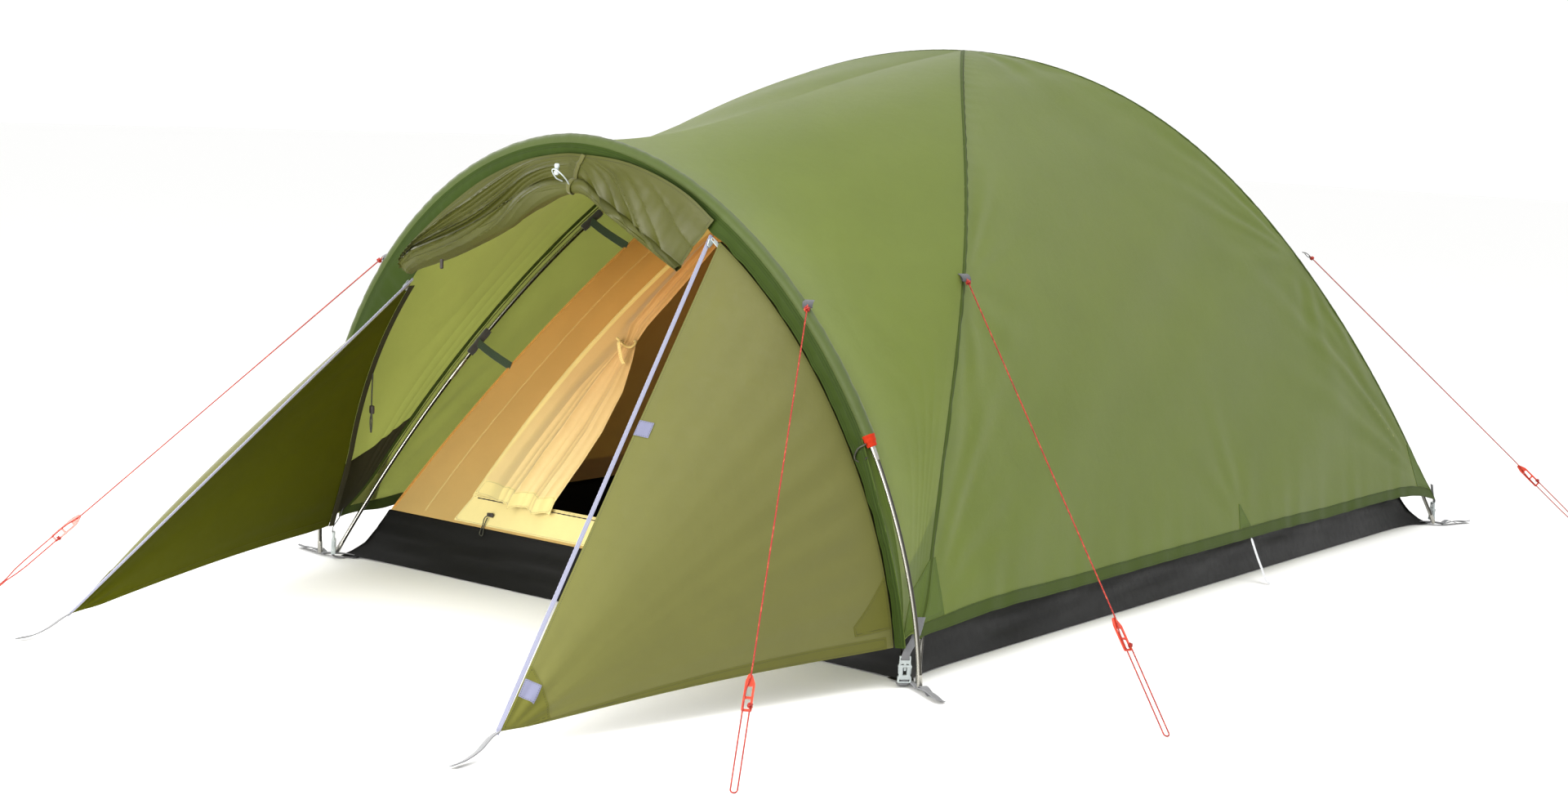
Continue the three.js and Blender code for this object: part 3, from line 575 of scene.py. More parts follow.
# ------------------------------------------------------------------ guy lines, made first
GUYS = {
    "arch_right": ((502, -1208, 618), (856, -1809, 2), 0.785),
    "arch_left": ((-502, -1208, 618), (-856, -1809, 2), 0.785),
    "front_right": ((524, -762, 648), (1148, -1095, 2), 0.765),
    "front_left": ((-492, -762, 648), (-1130, -1095, 2), 0.765),
    "rear_right": ((492, 762, 648), (1130, 1095, 2), 0.705),
    "rear_left": ((-492, 762, 648), (-1130, 1095, 2), 0.705),
}
HANG = {"arch_left": 1.3, "rear_left": 1.3, "rear_right": -1.3}  # runners that hang on edge
LINE_RADIUS = 1.2
LOOP = 5.0
RUNNER = 64.0


def guy_frame(name):
    tab, peg, at = GUYS[name]
    tab, peg = np.array(tab, float), np.array(peg, float)
    along = unit(peg - tab)
    level = unit(np.cross(along, (0, 0, 1)))
    over = unit(np.cross(level, along))
    total = float(np.linalg.norm(peg - tab))
    return tab, along, level, over, total, total * at


def guy_route(name):
    tab, along, level, over, total, start = guy_frame(name)

    def on(distance, sideways):
        angle = HANG.get(name, 0) * (1 - smooth((distance - start - 130) / (total - start - 155)))
        return tab + along * distance + (level * math.cos(angle) + over * math.sin(angle)) * sideways

    turn_at = total - LOOP
    route = [on(start * f, 0) for f in (0, 0.03, 0.1, 0.3, 0.5, 0.7, 0.9, 0.97)]
    route += [on(start + 4, 0.3), on(start + 12, 1.5), on(start + 20, 2.9), on(start + 30, 4.3), on(start + 40, 4.9)]
    route += [on(start + 48 + (turn_at - start - 48) * f, LOOP) for f in (0, 0.2, 0.4, 0.55, 0.7, 0.85, 0.96)]
    for k in range(9):
        angle = math.pi * (0.5 - k / 8)
        route.append(on(turn_at + LOOP * math.cos(angle), LOOP * math.sin(angle)))
    route += [on(start + 56 + (turn_at - start - 56) * f, -LOOP) for f in (0.96, 0.85, 0.7, 0.55, 0.4, 0.2, 0)]
    return np.array(route)


def knot(name, centre, along, size, material):
    """A small tied knot: two crossed turns of cord round the line."""
    along = unit(along)
    side = unit(np.cross(along, (0.2, 0.1, 1.0)))
    third = np.cross(along, side)
    angle = np.linspace(0, 4 * math.pi, 49)
    reach = size * (1 + 0.22 * np.cos(1.5 * angle))
    path = (
        np.asarray(centre, float)
        + along * (size * 0.75 * np.sin(1.5 * angle))[:, None]
        + side * (reach * np.cos(angle))[:, None]
        + third * (reach * np.sin(angle))[:, None]
    )
    return tube(name, path, size * 0.52, material, 8)


for guy in GUYS:
    tab, along, level, over, total, start = guy_frame(guy)
    route = guy_route(guy)
    curve = bpy.data.curves.new(f"guy_cord_{guy}", "CURVE")
    curve.dimensions = "3D"
    curve.bevel_depth = LINE_RADIUS * UNIT
    curve.bevel_resolution = 3
    curve.use_fill_caps = True
    spline = curve.splines.new("POLY")
    spline.points.add(len(route) - 1)
    for target, p in zip(spline.points, route * UNIT):
        target.co = (*p, 1)
    line = bpy.data.objects.new(f"guy_cord_{guy}", curve)
    bpy.context.collection.objects.link(line)
    curve.materials.append(cord_orange)
    keep_piece(line, TENT, f"guy_line_{guy}")

    hang = HANG.get(guy, 0)
    width = level * math.cos(hang) + over * math.sin(hang)
    plate_at = tab + along * (start + RUNNER) - (over * math.cos(hang) - level * math.sin(hang)) * (LINE_RADIUS + 0.5 + 1.5)
    half = 7.5
    rim = rounded([(-half, 0), (half, 0), (half, 50), (4, 64), (-1.5, 62.5), (-half, 47)], 2.2)
    gap = (RUNNER - 18 - 3 * 3.4) / 2
    holes = []
    for k in (0, 1):
        low = 3.4 + k * (gap + 3.4)
        holes.append(rounded([(-4.1, low), (4.1, low), (4.1, low + gap), (-4.1, low + gap)], 1.6))
    body = f"line_runner_{guy}"
    shape = plate(f"runner_{guy}", [rim, *holes], 3.0, 0.7, runner_orange, placed(plate_at, width, -along))
    keep_piece(shape, body, body)
    upper_knot = knot(f"line_knot_{guy}", tab + along * 9, along, 3.1, cord_orange)
    keep_piece(upper_knot)
    end_knot = knot(f"end_knot_{guy}", route[-1] + over * 0.4, along, 2.6, cord_orange)
    keep_piece(end_knot)


# ------------------------------------------------------------------ the tent's curves
DOME = (720.0, 1143.0, 1073.0)
POLES = (706.0, 1128.0, 1056.0)
BOW = {"fr": 0.052, "fl": -0.012, "rr": -0.018, "rl": -0.012}
HEM = 0.962
SETBACK = 14.5
SLEEVE_END = 414.0


def profile(t):
    return 1 - 0.84 * t**2 - 0.16 * t**4


def ridge_t(f, from_ridge=0.0):
    """The leg parameter of a cloth row: each corner is drawn down towards its buckle."""
    return f * HEM + 0.010 * smooth((f - 0.84) / 0.16) * np.exp(-from_ridge / 75)


def leg(shape, corner, t, lift=0.0):
    t = np.asarray(t, float)
    bow = np.sin(math.pi * np.minimum(1, np.abs(t)) ** 1.6) ** 2
    x = (1 if corner[1] == "r" else -1) * shape[0] * (t + BOW[corner] * bow)
    y = (-1 if corner[0] == "f" else 1) * shape[1] * t
    return point(x, y, shape[2] * profile(t) + lift * (1 - t * t))


def hoop_centre(angle):
    angle = np.asarray(angle, float)
    power = 2 / 1.88
    z = 863 * np.maximum(0, np.cos(angle)) ** power
    x = np.sign(angle) * 724 * np.abs(np.sin(angle)) ** power
    return point(x, -1150 - 0.088 * z, z)


def hoop_point(angle, inset=0.0, ahead=0.0):
    tangent = hoop_centre(np.asarray(angle) + 0.002) - hoop_centre(np.asarray(angle) - 0.002)
    inward = unit(point(tangent[..., 2], 0, -tangent[..., 0]))
    made = hoop_centre(angle) + inward * np.asarray(inset, float)[..., None]
    made[..., 1] = -1150 - 0.088 * made[..., 2] - ahead
    return made


def hoop_angle(z):
    return math.acos((z / 863) ** 0.94)


def hoop_angle_at_x(x):
    return math.asin((x / 724) ** 0.94)


FOOT = hoop_angle(73)


def foot_inset(angle):
    below = np.maximum(0, 1 - hoop_centre(angle)[..., 2] / SLEEVE_END)
    return 30 * np.minimum(1, below * 1.3) ** 0.8


def lip_inset(angle):
    angle = np.asarray(angle, float)
    towards = np.where(angle < 0, 74.0, 33.0)
    wide = 38 + (towards - 38) * np.sin(np.minimum(1, np.abs(angle) / 0.9) * math.pi / 2)
    near_foot = np.maximum(0, 1 - hoop_centre(angle)[..., 2] / 260) ** 1.6
    return wide + (36 - wide) * np.minimum(1, near_foot * 1.6)


# ------------------------------------------------------------------ flysheet panels as surfaces
def drawn_to_buckles(made):
    """Each bottom corner of the fly is drawn outwards and down to its buckle, within a hand's breadth."""
    for corner in BOW:
        tip = leg(DOME, corner, 0.972)
        away = np.linalg.norm(made - tip, axis=-1, keepdims=True)
        outward = np.array((0.0, -14.0, 12.0) if corner[0] == "f" else (0.0, 20.0, -5.0))
        made = made + outward * np.exp(-((away / 62) ** 2))
    return made


def dome_surface(a, b, sag_axis, seed, pulls=()):
    sag_axis = np.asarray(sag_axis, float)

    def surface(s, f):
        s, f = np.broadcast_arrays(np.asarray(s, float), np.asarray(f, float))
        width = np.linalg.norm(leg(DOME, b, f * HEM) - leg(DOME, a, f * HEM), axis=-1)
        t = ridge_t(f, np.minimum(s, 1 - s) * width)
        start, end = leg(DOME, a, t), leg(DOME, b, t)
        inset = np.minimum(0.4, 0.5 / width)
        made = start + (end - start) * (inset + s * (1 - 2 * inset))[..., None]
        hollow = 19 * (4 * s * (1 - s)) ** 0.85 * np.sin(math.pi * np.minimum(1, np.maximum(0, f - 0.008) / 0.992) ** 1.11)
        u, v = s * width, f * 1520
        rim = np.minimum(u, width - u)
        inside = smooth(rim / 90)
        relief = 3.8 * inside * ripples(u, v, seed, 430, 1.2, 0.5)
        relief = relief + 1.0 * inside * ripples(u, v, seed + 1, 170, 0.9, 0.4)
        relief = relief + 1.5 * np.exp(-rim / 46) * smooth(rim / 10) * ripples(u * 0.35, v, seed + 2, 62, 1.57, 0.3)
        low = np.exp(-(1 - f) * 1520 / 60)
        relief = relief + 1.9 * low * inside * ripples(u, v * 0.2, seed + 3, 95, 0, 0.3)
        for at, reach, count in pulls:
            relief = relief + 4.4 * smooth(rim / 40) * radiating(u, v, (at[0] * width, at[1] * 1520), reach, count, seed)
        made = made - sag_axis * hollow[..., None]
        return drawn_to_buckles(made + sag_axis * (relief * smooth(f / 0.1))[..., None])

    return surface


SIDE_PULLS = [
    ((0.0, 0.99), 190, 13),
    ((1.0, 0.99), 260, 15),
    ((0.55, 1.0), 90, 9),
    ((0.0, 0.70), 150, 11),
    ((1.0, 0.70), 190, 13),
    ((0.5, 0.0), 260, 9),
]
right_side = dome_surface("fr", "rr", (0.75, 0, 0.66), 3, SIDE_PULLS)
left_side = dome_surface("fl", "rl", (-0.75, 0, 0.66), 8, SIDE_PULLS)
rear_side = dome_surface("rl", "rr", (0, 0.6, 0.8), 12, [((0.0, 0.99), 190, 13), ((1.0, 0.99), 190, 15)])


def canopy_surface(s, r):
    s, r = np.broadcast_arrays(np.asarray(s, float), np.asarray(r, float))
    reach = np.abs(s)
    t = ridge_t(reach, r * 170)
    start = np.where((s < 0)[..., None], leg(DOME, "fl", t), leg(DOME, "fr", t))
    start[..., 0] -= np.sign(s) * np.minimum(np.abs(start[..., 0]), 0.4)
    start[..., 1] -= 0.4
    angle = FOOT * s
    end = hoop_point(angle, foot_inset(angle), -SETBACK + 3.5)
    made = start + (end - start) * r[..., None]
    sag = 25 * (1 - reach) + 48 * 4 * reach * (1 - reach)
    made[..., 2] -= sag * (1 - reach**4) * np.sin(math.pi * r ** (1 + 1.6 * (1 - reach)))
    width = np.linalg.norm(end - start, axis=-1)
    inside = np.sin(math.pi * np.clip(r, 0, 1)) ** 0.7 * smooth((1 - reach) / 0.1)
    lines = r * 4.2 + 1.1 * s + 1.2 * ripples(s * 1200, r * 600, 21, 700)
    streaks = (folds(lines, 0.9) - 0.4) * 4.0 * np.where(s < 0, 1.0, 0.35) * smooth((reach - 0.25) / 0.2)
    across = 2.2 * ripples(s * 1100, r * 420, 22, 260, 0.7, 0.5)
    pucker = 0.8 * np.exp(-(1 - r) * width / 25) * ripples(s * 1500, r * 60, 23, 46, 0, 0.2)
    made[..., 2] += (streaks + across) * inside
    made[..., 1] += (0.4 * streaks + pucker) * inside
    return drawn_to_buckles(made)


def lip_surface(a, w):
    """The band in front of the hoop, from the sleeve at w = 0 to its free edge at w = 1."""
    a, w = np.broadcast_arrays(np.asarray(a, float), np.asarray(w, float))
    angle = FOOT * a
    low = foot_inset(angle)
    start = 5 + np.minimum(low, 12)
    inset = start + (lip_inset(angle) - start) * w
    ahead = 10.5 + 4 * smooth(w / 0.35)
    along = a * 1500
    wave = ripples(along, w * 40, 31, 90, 0, 0.25)
    ahead = ahead + 1.6 * smooth((w - 0.1) / 0.5) * wave * (1 - 0.6 * np.abs(a))
    ahead = ahead + 0.8 * np.sin(math.pi * w) * ripples(along, w * 30, 33, 34, 0, 0.5)
    inset = inset + 1.2 * w * ripples(along, w, 32, 70, 0, 0.1)
    return hoop_point(angle, inset, ahead)


CORNER = np.array((499.0, -1910.0, 32.0))
ZIP_TOP_X = {"right": 330.0, "left": 462.0}
BODY_OF_SIDE = {"right": 1, "left": -1}


def vestibule_frame(side):
    sign = BODY_OF_SIDE[side]
    corner = CORNER * (sign, 1, 1)
    zip_angle = hoop_angle_at_x(ZIP_TOP_X[side])

    def lip_edge(angle):
        return hoop_point(sign * angle, lip_inset(sign * angle) + 3, SETBACK)

    zip_top = lip_edge(np.array(zip_angle)) + (0, -4, -3)
    zip_way = unit(corner - zip_top)
    hem_way = unit(lip_edge(np.array(FOOT)) - corner)
    across = unit(hem_way - zip_way * np.dot(hem_way, zip_way))
    outward = unit(np.cross(zip_way, across))
    if np.dot(outward, zip_top - (0, -1300, 100)) < 0:
        outward = -outward
    return sign, corner, zip_angle, lip_edge, zip_top, zip_way, hem_way, across, outward


def vestibule_surface(side):
    sign, corner, zip_angle, lip_edge, zip_top, zip_way, hem_way, across, outward = vestibule_frame(side)
    bulge = 26.0 if side == "left" else 11.0
    seed = 41 if side == "left" else 45

    def surface(u, v):
        u, v = np.broadcast_arrays(np.asarray(u, float), np.asarray(v, float))
        edge = lip_edge(zip_angle + (FOOT - zip_angle) * (0.03 + 0.97 * u))
        tip = corner + hem_way * (8 + 38 * u)[..., None]
        made = edge + (tip - edge) * v[..., None]
        length = 900 * v
        near_zip = 0.05 if side == "left" else 0.22
        swell = np.sin(math.pi * np.clip(v, 0, 1)) ** 0.8 * (1 - np.exp(-u / near_zip)) * (1 - u**2)
        relief = bulge * swell
        inside = smooth(v / 0.12) * smooth((1 - v) / 0.06) * smooth(u / 0.05)
        relief = relief + 1.8 * inside * ripples(u * 450 * (1.1 - v), length, seed, 420, 0, 0.35)
        relief = relief + 2.4 * inside * np.exp(-v * 4.0) * ripples(u * 700, length * 0.25, seed + 1, 90, 0, 0.2)
        relief = relief + 1.6 * inside * np.exp(-(1 - v) * 5.0) * np.sin(u * 21 + seed)
        made = made + outward * relief[..., None]
        made[..., 2] += 7 * np.sin(math.pi * v) * smooth((u - 0.8) / 0.2)
        return made

    return surface


# ------------------------------------------------------------------ flysheet pieces
def spaced(low, high, count, ends=()):
    """Even parameters with extra lines near both ends."""
    extra = [low + e for e in ends] + [high - e for e in ends]
    return np.unique(np.concatenate([np.linspace(low, high, count), extra]))


def panel(name, surface, s_values, f_values, outside, inside, core, **options):
    s, f = np.meshgrid(s_values, f_values)
    grid = surface(s, f)
    return cloth(name, grid, outside, inside, core=core, **options), area_of(grid)


def fly_panel(name, surface):
    made, area = panel(name, surface, spaced(0, 1, 190, (0.002, 0.006)), spaced(0.002, 1, 130, (0.004,)), fly_out, fly_in, (0, 0, 250))
    keep_piece(made, TENT, name)
    return made


fly_panel("fly_right_panel", right_side)
fly_panel("fly_left_panel", left_side)
fly_panel("fly_rear_panel", rear_side)

canopy, canopy_area = panel(
    "fly_front_canopy", canopy_surface, np.linspace(-1, 1, 281), np.linspace(0, 1, 110), fly_out, fly_in, (0, -600, 200)
)
keep_piece(canopy, TENT, "fly_front_canopy")



def gap_surface(a, w):
    """The cloth that joins canopy and lip below the sleeve, behind the bare end of the hoop."""
    angle = FOOT * np.asarray(a, float)
    low = foot_inset(angle)
    start, end = canopy_surface(a, 1.0), lip_surface(a, 0.0)
    middle = hoop_point(angle, np.maximum(low, 15) + 4, -2.0)
    return start * ((1 - w) ** 2)[..., None] + middle * (2 * w * (1 - w))[..., None] + end * (w * w)[..., None]


for name, sign in (("right", 1), ("left", -1)):
    from_a = (hoop_angle(SLEEVE_END + 6)) / FOOT
    a, w = np.meshgrid(sign * np.linspace(from_a, 1.0, 60), np.linspace(0, 1, 14))
    strip = cloth(f"hoop_end_cloth_{name}", gap_surface(a, w), fly_patch, fly_in, core=(0, -1150, 300))
    keep_piece(strip)

for name, surface in (("right", right_side), ("left", left_side), ("rear", rear_side)):
    hem = sample(surface, ((0, 0.9905), (1, 0.9905), (1, 1.0005), (0, 1.0005)), 160, 6)
    made = cloth(f"hem_tape_{name}", hem, fly_trim, thickness=2.2, lift=0.7)
    keep_piece(made)


def seam(name, corner, first, second, side_a, side_b):
    """A flat-felled seam over a ridge pole: it laps 7 mm on to the panel on either side."""
    t = np.linspace(0.004, 1.0, 220)
    middle = drawn_to_buckles(leg(DOME, corner, ridge_t(t)))
    columns = []
    for reach in (7.0, 4.5, 2.0):
        columns.append(first(t, reach) + side_a * (0.5 if reach < 6 else 0.15))
    out = unit(side_a + side_b)
    columns.append(middle + out * 0.7)
    for reach in (2.0, 4.5, 7.0):
        columns.append(second(t, reach) + side_b * (0.5 if reach < 6 else 0.15))
    grid = np.stack(columns, axis=1)
    grid = grid + out * (0.25 * ripples(t * 1500, t, 61, 22, 0, 0.1))[:, None, None]
    made = cloth(name, grid, fly_seam_and_crease_shade, thickness=1.6, core=(0, 0, 200))
    return keep_piece(made)


def at_reach(surface, a, b, from_b):
    """Points of a dome panel a given distance in mm from one of its ridges."""

    def find(t, reach):
        width = np.linalg.norm(leg(DOME, b, t * HEM) - leg(DOME, a, t * HEM), axis=-1)
        s = np.minimum(0.45, reach / width)
        return surface(1 - s if from_b else s, t)

    return find


def canopy_reach(sign):
    def find(t, reach):
        gap = np.linalg.norm(canopy_surface(sign * t, 1.0) - canopy_surface(sign * t, 0.0), axis=-1)
        return canopy_surface(sign * t, np.minimum(0.4, reach / gap))

    return find


seam("ridge_seam_fr", "fr", at_reach(right_side, "fr", "rr", False), canopy_reach(1), np.array((0.8, 0, 0.6)), unit((0.3, -0.5, 0.8)))
seam("ridge_seam_fl", "fl", at_reach(left_side, "fl", "rl", False), canopy_reach(-1), np.array((-0.8, 0, 0.6)), unit((-0.3, -0.5, 0.8)))
seam("ridge_seam_rr", "rr", at_reach(right_side, "fr", "rr", True), at_reach(rear_side, "rl", "rr", True), np.array((0.8, 0, 0.6)), unit((0, 0.6, 0.8)))
seam("ridge_seam_rl", "rl", at_reach(left_side, "fl", "rl", True), at_reach(rear_side, "rl", "rr", False), np.array((-0.8, 0, 0.6)), unit((0, 0.6, 0.8)))


def patch(name, surface, corners, material, lift=1.0, thickness=1.2, core=(0, 0, 250), size=(36, 36)):
    made = cloth(name, sample(surface, corners, *size), material, thickness=thickness, lift=lift, core=core)
    return keep_piece(made)


for name, surface in (("right", right_side), ("left", left_side)):
    patch(f"corner_patch_front_{name}", surface, ((0.002, 0.944), (0.006, 0.944), (0.027, 0.99), (0.002, 0.99)), fly_patch)
    patch(f"corner_patch_rear_{name}", surface, ((0.994, 0.944), (0.998, 0.944), (0.998, 0.99), (0.973, 0.99)), fly_patch)
    patch(f"side_patch_{name}", surface, ((0.549, 0.968), (0.551, 0.968), (0.561, 0.99), (0.539, 0.99)), fly_patch)
for name, sign in (("right", 1), ("left", -1)):
    corners = ((sign * 0.944, 0.02), (sign * 0.944, 0.72), (sign * 0.998, 0.96), (sign * 0.998, 0.02))
    patch(f"canopy_patch_{name}", canopy_surface, corners, fly_patch, core=(0, -600, 200))
    # a dark strip inside each side of the canopy: partly lining, partly painted shade
    corners = ((sign * 0.905, 0.04), (sign * 0.905, 0.96), (sign * 0.998, 0.96), (sign * 0.998, 0.04))
    inner_patch = cloth(f"canopy_lining_{name}", sample(canopy_surface, corners, 40, 30), dark_trim_and_shade, thickness=0.8, lift=-1.4, core=(0, -600, 200))
    keep_piece(inner_patch)


def hoop_line(z_low, inset, ahead, count):
    limit = hoop_angle(z_low)
    return hoop_point(np.linspace(-limit, limit, count), np.full(count, float(inset)), ahead)


def add_sleeve():
    limit = hoop_angle(SLEEVE_END)
    count, sides = 420, 20
    angle = np.linspace(-limit, limit, count)
    centre = hoop_centre(angle)
    tangent = unit(np.gradient(centre, axis=0))
    front = np.broadcast_to(unit((0, -1, -0.088)), tangent.shape)
    out = unit(np.cross(front, tangent))
    out *= np.sign(np.sum(out * (centre - (0, -1190, 0)), axis=1, keepdims=True))
    rings = []
    turns = np.linspace(0, 2 * math.pi, sides, endpoint=False)
    along = np.linspace(-1, 1, count) * 1010
    for turn in turns:
        gather = 0.45 * ripples(along, turn * 9, 52, 60, 0, 0.35) + 0.16 * ripples(along, turn * 9, 53, 22, 0, 0.35)
        reach = 11.4 + gather * (0.5 + 0.5 * math.cos(turn))
        rings.append(centre + out * (reach * math.cos(turn))[:, None] + front * (reach * 0.94 * math.sin(turn))[:, None])
    outer = np.stack(rings, axis=1)
    hole = np.stack([centre + out * (7 * math.cos(t)) + front * (7 * math.sin(t)) for t in turns], axis=1)
    points = np.concatenate([outer.reshape(-1, 3), hole.reshape(-1, 3)])
    faces = []
    offset = count * sides
    for i in range(count - 1):
        for k in range(sides):
            n = (k + 1) % sides
            a, b, c, d = i * sides + k, i * sides + n, (i + 1) * sides + n, (i + 1) * sides + k
            faces.append((a, b, c, d))
            faces.append((d + offset, c + offset, b + offset, a + offset))
    for i in (0, count - 1):
        for k in range(sides):
            n = (k + 1) % sides
            a, b = i * sides + k, i * sides + n
            ring = (b, a, a + offset, b + offset)
            faces.append(ring if i == 0 else ring[::-1])
    u = np.tile(turns * 11, count)
    v = np.repeat(along + 1010, sides)
    uv = np.tile(np.stack([u, v], -1), (2, 1))
    facts = {"edge": np.full(len(points), 99.0), "run": np.tile(v, 2)}
    made = face_out(mesh_object("arch_sleeve_cloth", points, faces, [sleeve_cloth], None, uv, facts, 60))
    keep_piece(made, TENT, "arch_sleeve")


add_sleeve()

# the lip band's dark colour is painted shade
lip, lip_area = panel("lip_band", lip_surface, np.linspace(-1, 1, 360), np.linspace(0, 1, 18), lip_painted_shade_cloth, lip_painted_shade_cloth, (0, -600, 500))
keep_piece(lip, TENT, "arch_lip")

for side in ("right", "left"):
    surface = vestibule_surface(side)
    sign, corner, zip_angle, lip_edge, zip_top, zip_way, hem_way, across, outward = vestibule_frame(side)
    core = (0, -1300, 100)
    made, area = panel(
        f"vestibule_cloth_{side}", surface, spaced(0, 1, 110, (0.004,)), np.linspace(0, 0.998, 120), olive_out, olive_in_coat_and_shade if side == "left" else olive_in_coat_and_shade, core
    )
    keep_piece(made, TENT, f"vestibule_{side}_panel")
    hem = sample(surface, ((0.972, 0.02), (0.94, 0.99), (1.0, 0.99), (1.0, 0.02)), 90, 6)
    keep_piece(cloth(f"vestibule_hem_{side}", hem, olive_trim, olive_in_coat_and_shade, thickness=2.0, lift=0.6, core=core))
    patch(f"vestibule_foot_patch_{side}", surface, ((0.84, 0.004), (0.955, 0.004), (0.955, 0.11), (0.93, 0.11)), olive_trim, core=core)
    patch(f"vestibule_tip_patch_{side}", surface, ((0.02, 0.88), (0.93, 0.93), (0.93, 0.995), (0.02, 0.995)), olive_trim, core=core)

    start = zip_top - zip_way * 2
    spine = np.linspace(start, corner, 60) + across * 4.5
    spine = spine - across * 1.6
    tape = ribbon(f"zip_tape_{side}", spine, across, 6.2, 1.2, zip_tape, 0.0, outward)
    keep_piece(tape, TENT, f"door_zip_{side}")
    teeth_path = np.linspace(start + zip_way * 2, corner - zip_way * 4, 520) - across * 0.6 + outward * 0.7
    ridge = 0.8 + 0.22 * np.sin(np.arange(520) * math.pi / 2)
    keep_piece(tube(f"zip_teeth_{side}", teeth_path, ridge, zip_tape, 6))

    at = zip_top + zip_way * 12 + across * 4.5 + outward * 2.6
    wedge = rounded([(-5.5, 3), (5.5, 3), (4.2, -8), (3.2, -12), (-3.2, -12), (-4.2, -8)], 1.6)
    slider_body = f"zip_slider_{side}"
    slider = plate(f"slider_{side}", [wedge], 4.6, 1.0, slider_metal, placed(at, np.cross(-zip_way, outward), -zip_way))
    keep_piece(slider, slider_body, slider_body)
    pull = rounded([(-3.4, 0), (3.4, 0), (4.6, -20), (2.6, -25), (-2.6, -25), (-4.6, -20)], 1.8)
    eye = rounded([(-1.6, -2), (1.6, -2), (1.6, -6), (-1.6, -6)], 0.8)
    tab_at = at + outward * 3.4 - across * 2 - zip_way * 5
    hang = unit(across + 0.25 * zip_way)
    tab_piece = plate(f"slider_pull_{side}", [pull, eye], 1.8, 0.5, buckle_grey, placed(tab_at, np.cross(-hang, outward), -hang))
    keep_piece(tab_piece, slider_body)

    strap_path = resampled(
        [corner + hem_way * 6 + (0, 2, 1), corner + (sign * 1, -6, -3), (sign * 503, -1948, 13), (sign * 504, -1972, 6), (sign * 507, -2006, 4)], 4
    )
    strap = ribbon(f"peg_strap_{side}", strap_path, (1, 0, 0.4), 15, 2.2, grey_web, 0.0, (0, -0.3, 1), ends=7)
    keep_piece(strap, TENT, f"vestibule_peg_strap_{side}")

for side in ("right", "left"):
    sign, corner, zip_angle, lip_edge, zip_top, zip_way, hem_way, across, outward = vestibule_frame(side)
    # partly a dark binding, partly painted shade: a dark strip behind the lip's free edge, in the gap that lies in
    # shade
    edge = lip_edge(np.linspace(zip_angle + 0.03, FOOT, 70)) + (-sign * 3, 5, 0)
    dark_band_and_shade = ribbon(f"opening_dark_band_and_shade_{side}", edge, (0, 1, 0), 13, 1.4, dark_trim_and_shade, 0.0, (-sign, 0, 0))
    keep_piece(dark_band_and_shade)
lock_at = np.array((-531.0, -1200.0, 322.0))
lock = rounded([(-5, -8), (5, -8), (6, 0), (5, 8), (-5, 8), (-6, 0)], 2)
keep_piece(plate("cord_lock", [lock], 7, 1.6, dark_plastic, placed(lock_at, (1, -0.3, 0), (0, 0, 1))))
lock_cord = resampled([lock_at + (0, 0, 70), lock_at + (1, -2, 30), lock_at + (0, -1, 0), lock_at + (4, -3, -22), lock_at + (1, -2, -44), lock_at + (-4, 0, -22), lock_at + (-1, 0, -4)], 3)
keep_piece(tube("cord_lock_loop", lock_cord, 1.5, cord_dark, 8))

right_vestibule = vestibule_surface("right")
_, _, _, _, zip_top, zip_way, _, across, _ = vestibule_frame("right")


def on_vestibule(down, over):
    """The panel's own two parameters at a place `down` the zip and `over` from it, in mm."""
    u, v = 0.2, down / 983
    for _ in range(12):
        here = right_vestibule(u, v)
        du = (right_vestibule(u + 0.001, v) - here) / 0.001
        dv = (right_vestibule(u, v + 0.001) - here) / 0.001
        miss = np.array([down - (here - zip_top) @ zip_way, over - (here - zip_top) @ across])
        slopes = np.array([[du @ zip_way, dv @ zip_way], [du @ across, dv @ across]])
        step = np.linalg.solve(slopes, miss)
        u, v = float(np.clip(u + step[0], 0.001, 1)), float(np.clip(v + step[1], 0, 1))
    return u, v


for name, down in (("upper", 408), ("lower", 900)):
    corners = [on_vestibule(down + i, 21 + j) for i, j in ((-15, -12), (-15, 12), (15, 12), (15, -12))]
    patch(f"hook_patch_{name}", right_vestibule, corners, hook_tape, lift=1.6, thickness=1.2, core=(0, -1300, 100))


# ------------------------------------------------------------------ rolled and tied door
# the fraction along the door, then x and z of its upper edge and of its lower edge
DOOR = np.array(
    [
        (0.00, -436, 632, -402, 596),
        (0.05, -420, 648, -388, 604),
        (0.14, -366, 690, -330, 622),
        (0.25, -292, 742, -238, 656),
        (0.36, -196, 796, -140, 700),
        (0.45, -96, 832, -66, 740),
        (0.52, -10, 846, -8, 765),
        (0.58, 40, 846, 34, 771),
        (0.68, 120, 840, 88, 742),
        (0.80, 205, 818, 150, 707),
        (0.90, 268, 790, 205, 676),
        (1.00, 322, 752, 246, 654),
    ]
)


def door_edges(a):
    knots = DOOR[:, 0]
    made = []
    for k in range(1, 5):
        slope = np.gradient(DOOR[:, k], knots)
        i = np.clip(np.searchsorted(knots, a, side="right") - 1, 0, len(knots) - 2)
        h = knots[i + 1] - knots[i]
        f = (a - knots[i]) / h
        made.append(
            (2 * f**3 - 3 * f**2 + 1) * DOOR[i, k]
            + (f**3 - 2 * f**2 + f) * h * slope[i]
            + (-2 * f**3 + 3 * f**2) * DOOR[i + 1, k]
            + (f**3 - f**2) * h * slope[i + 1]
        )
    return made


TIE_AT = 0.54


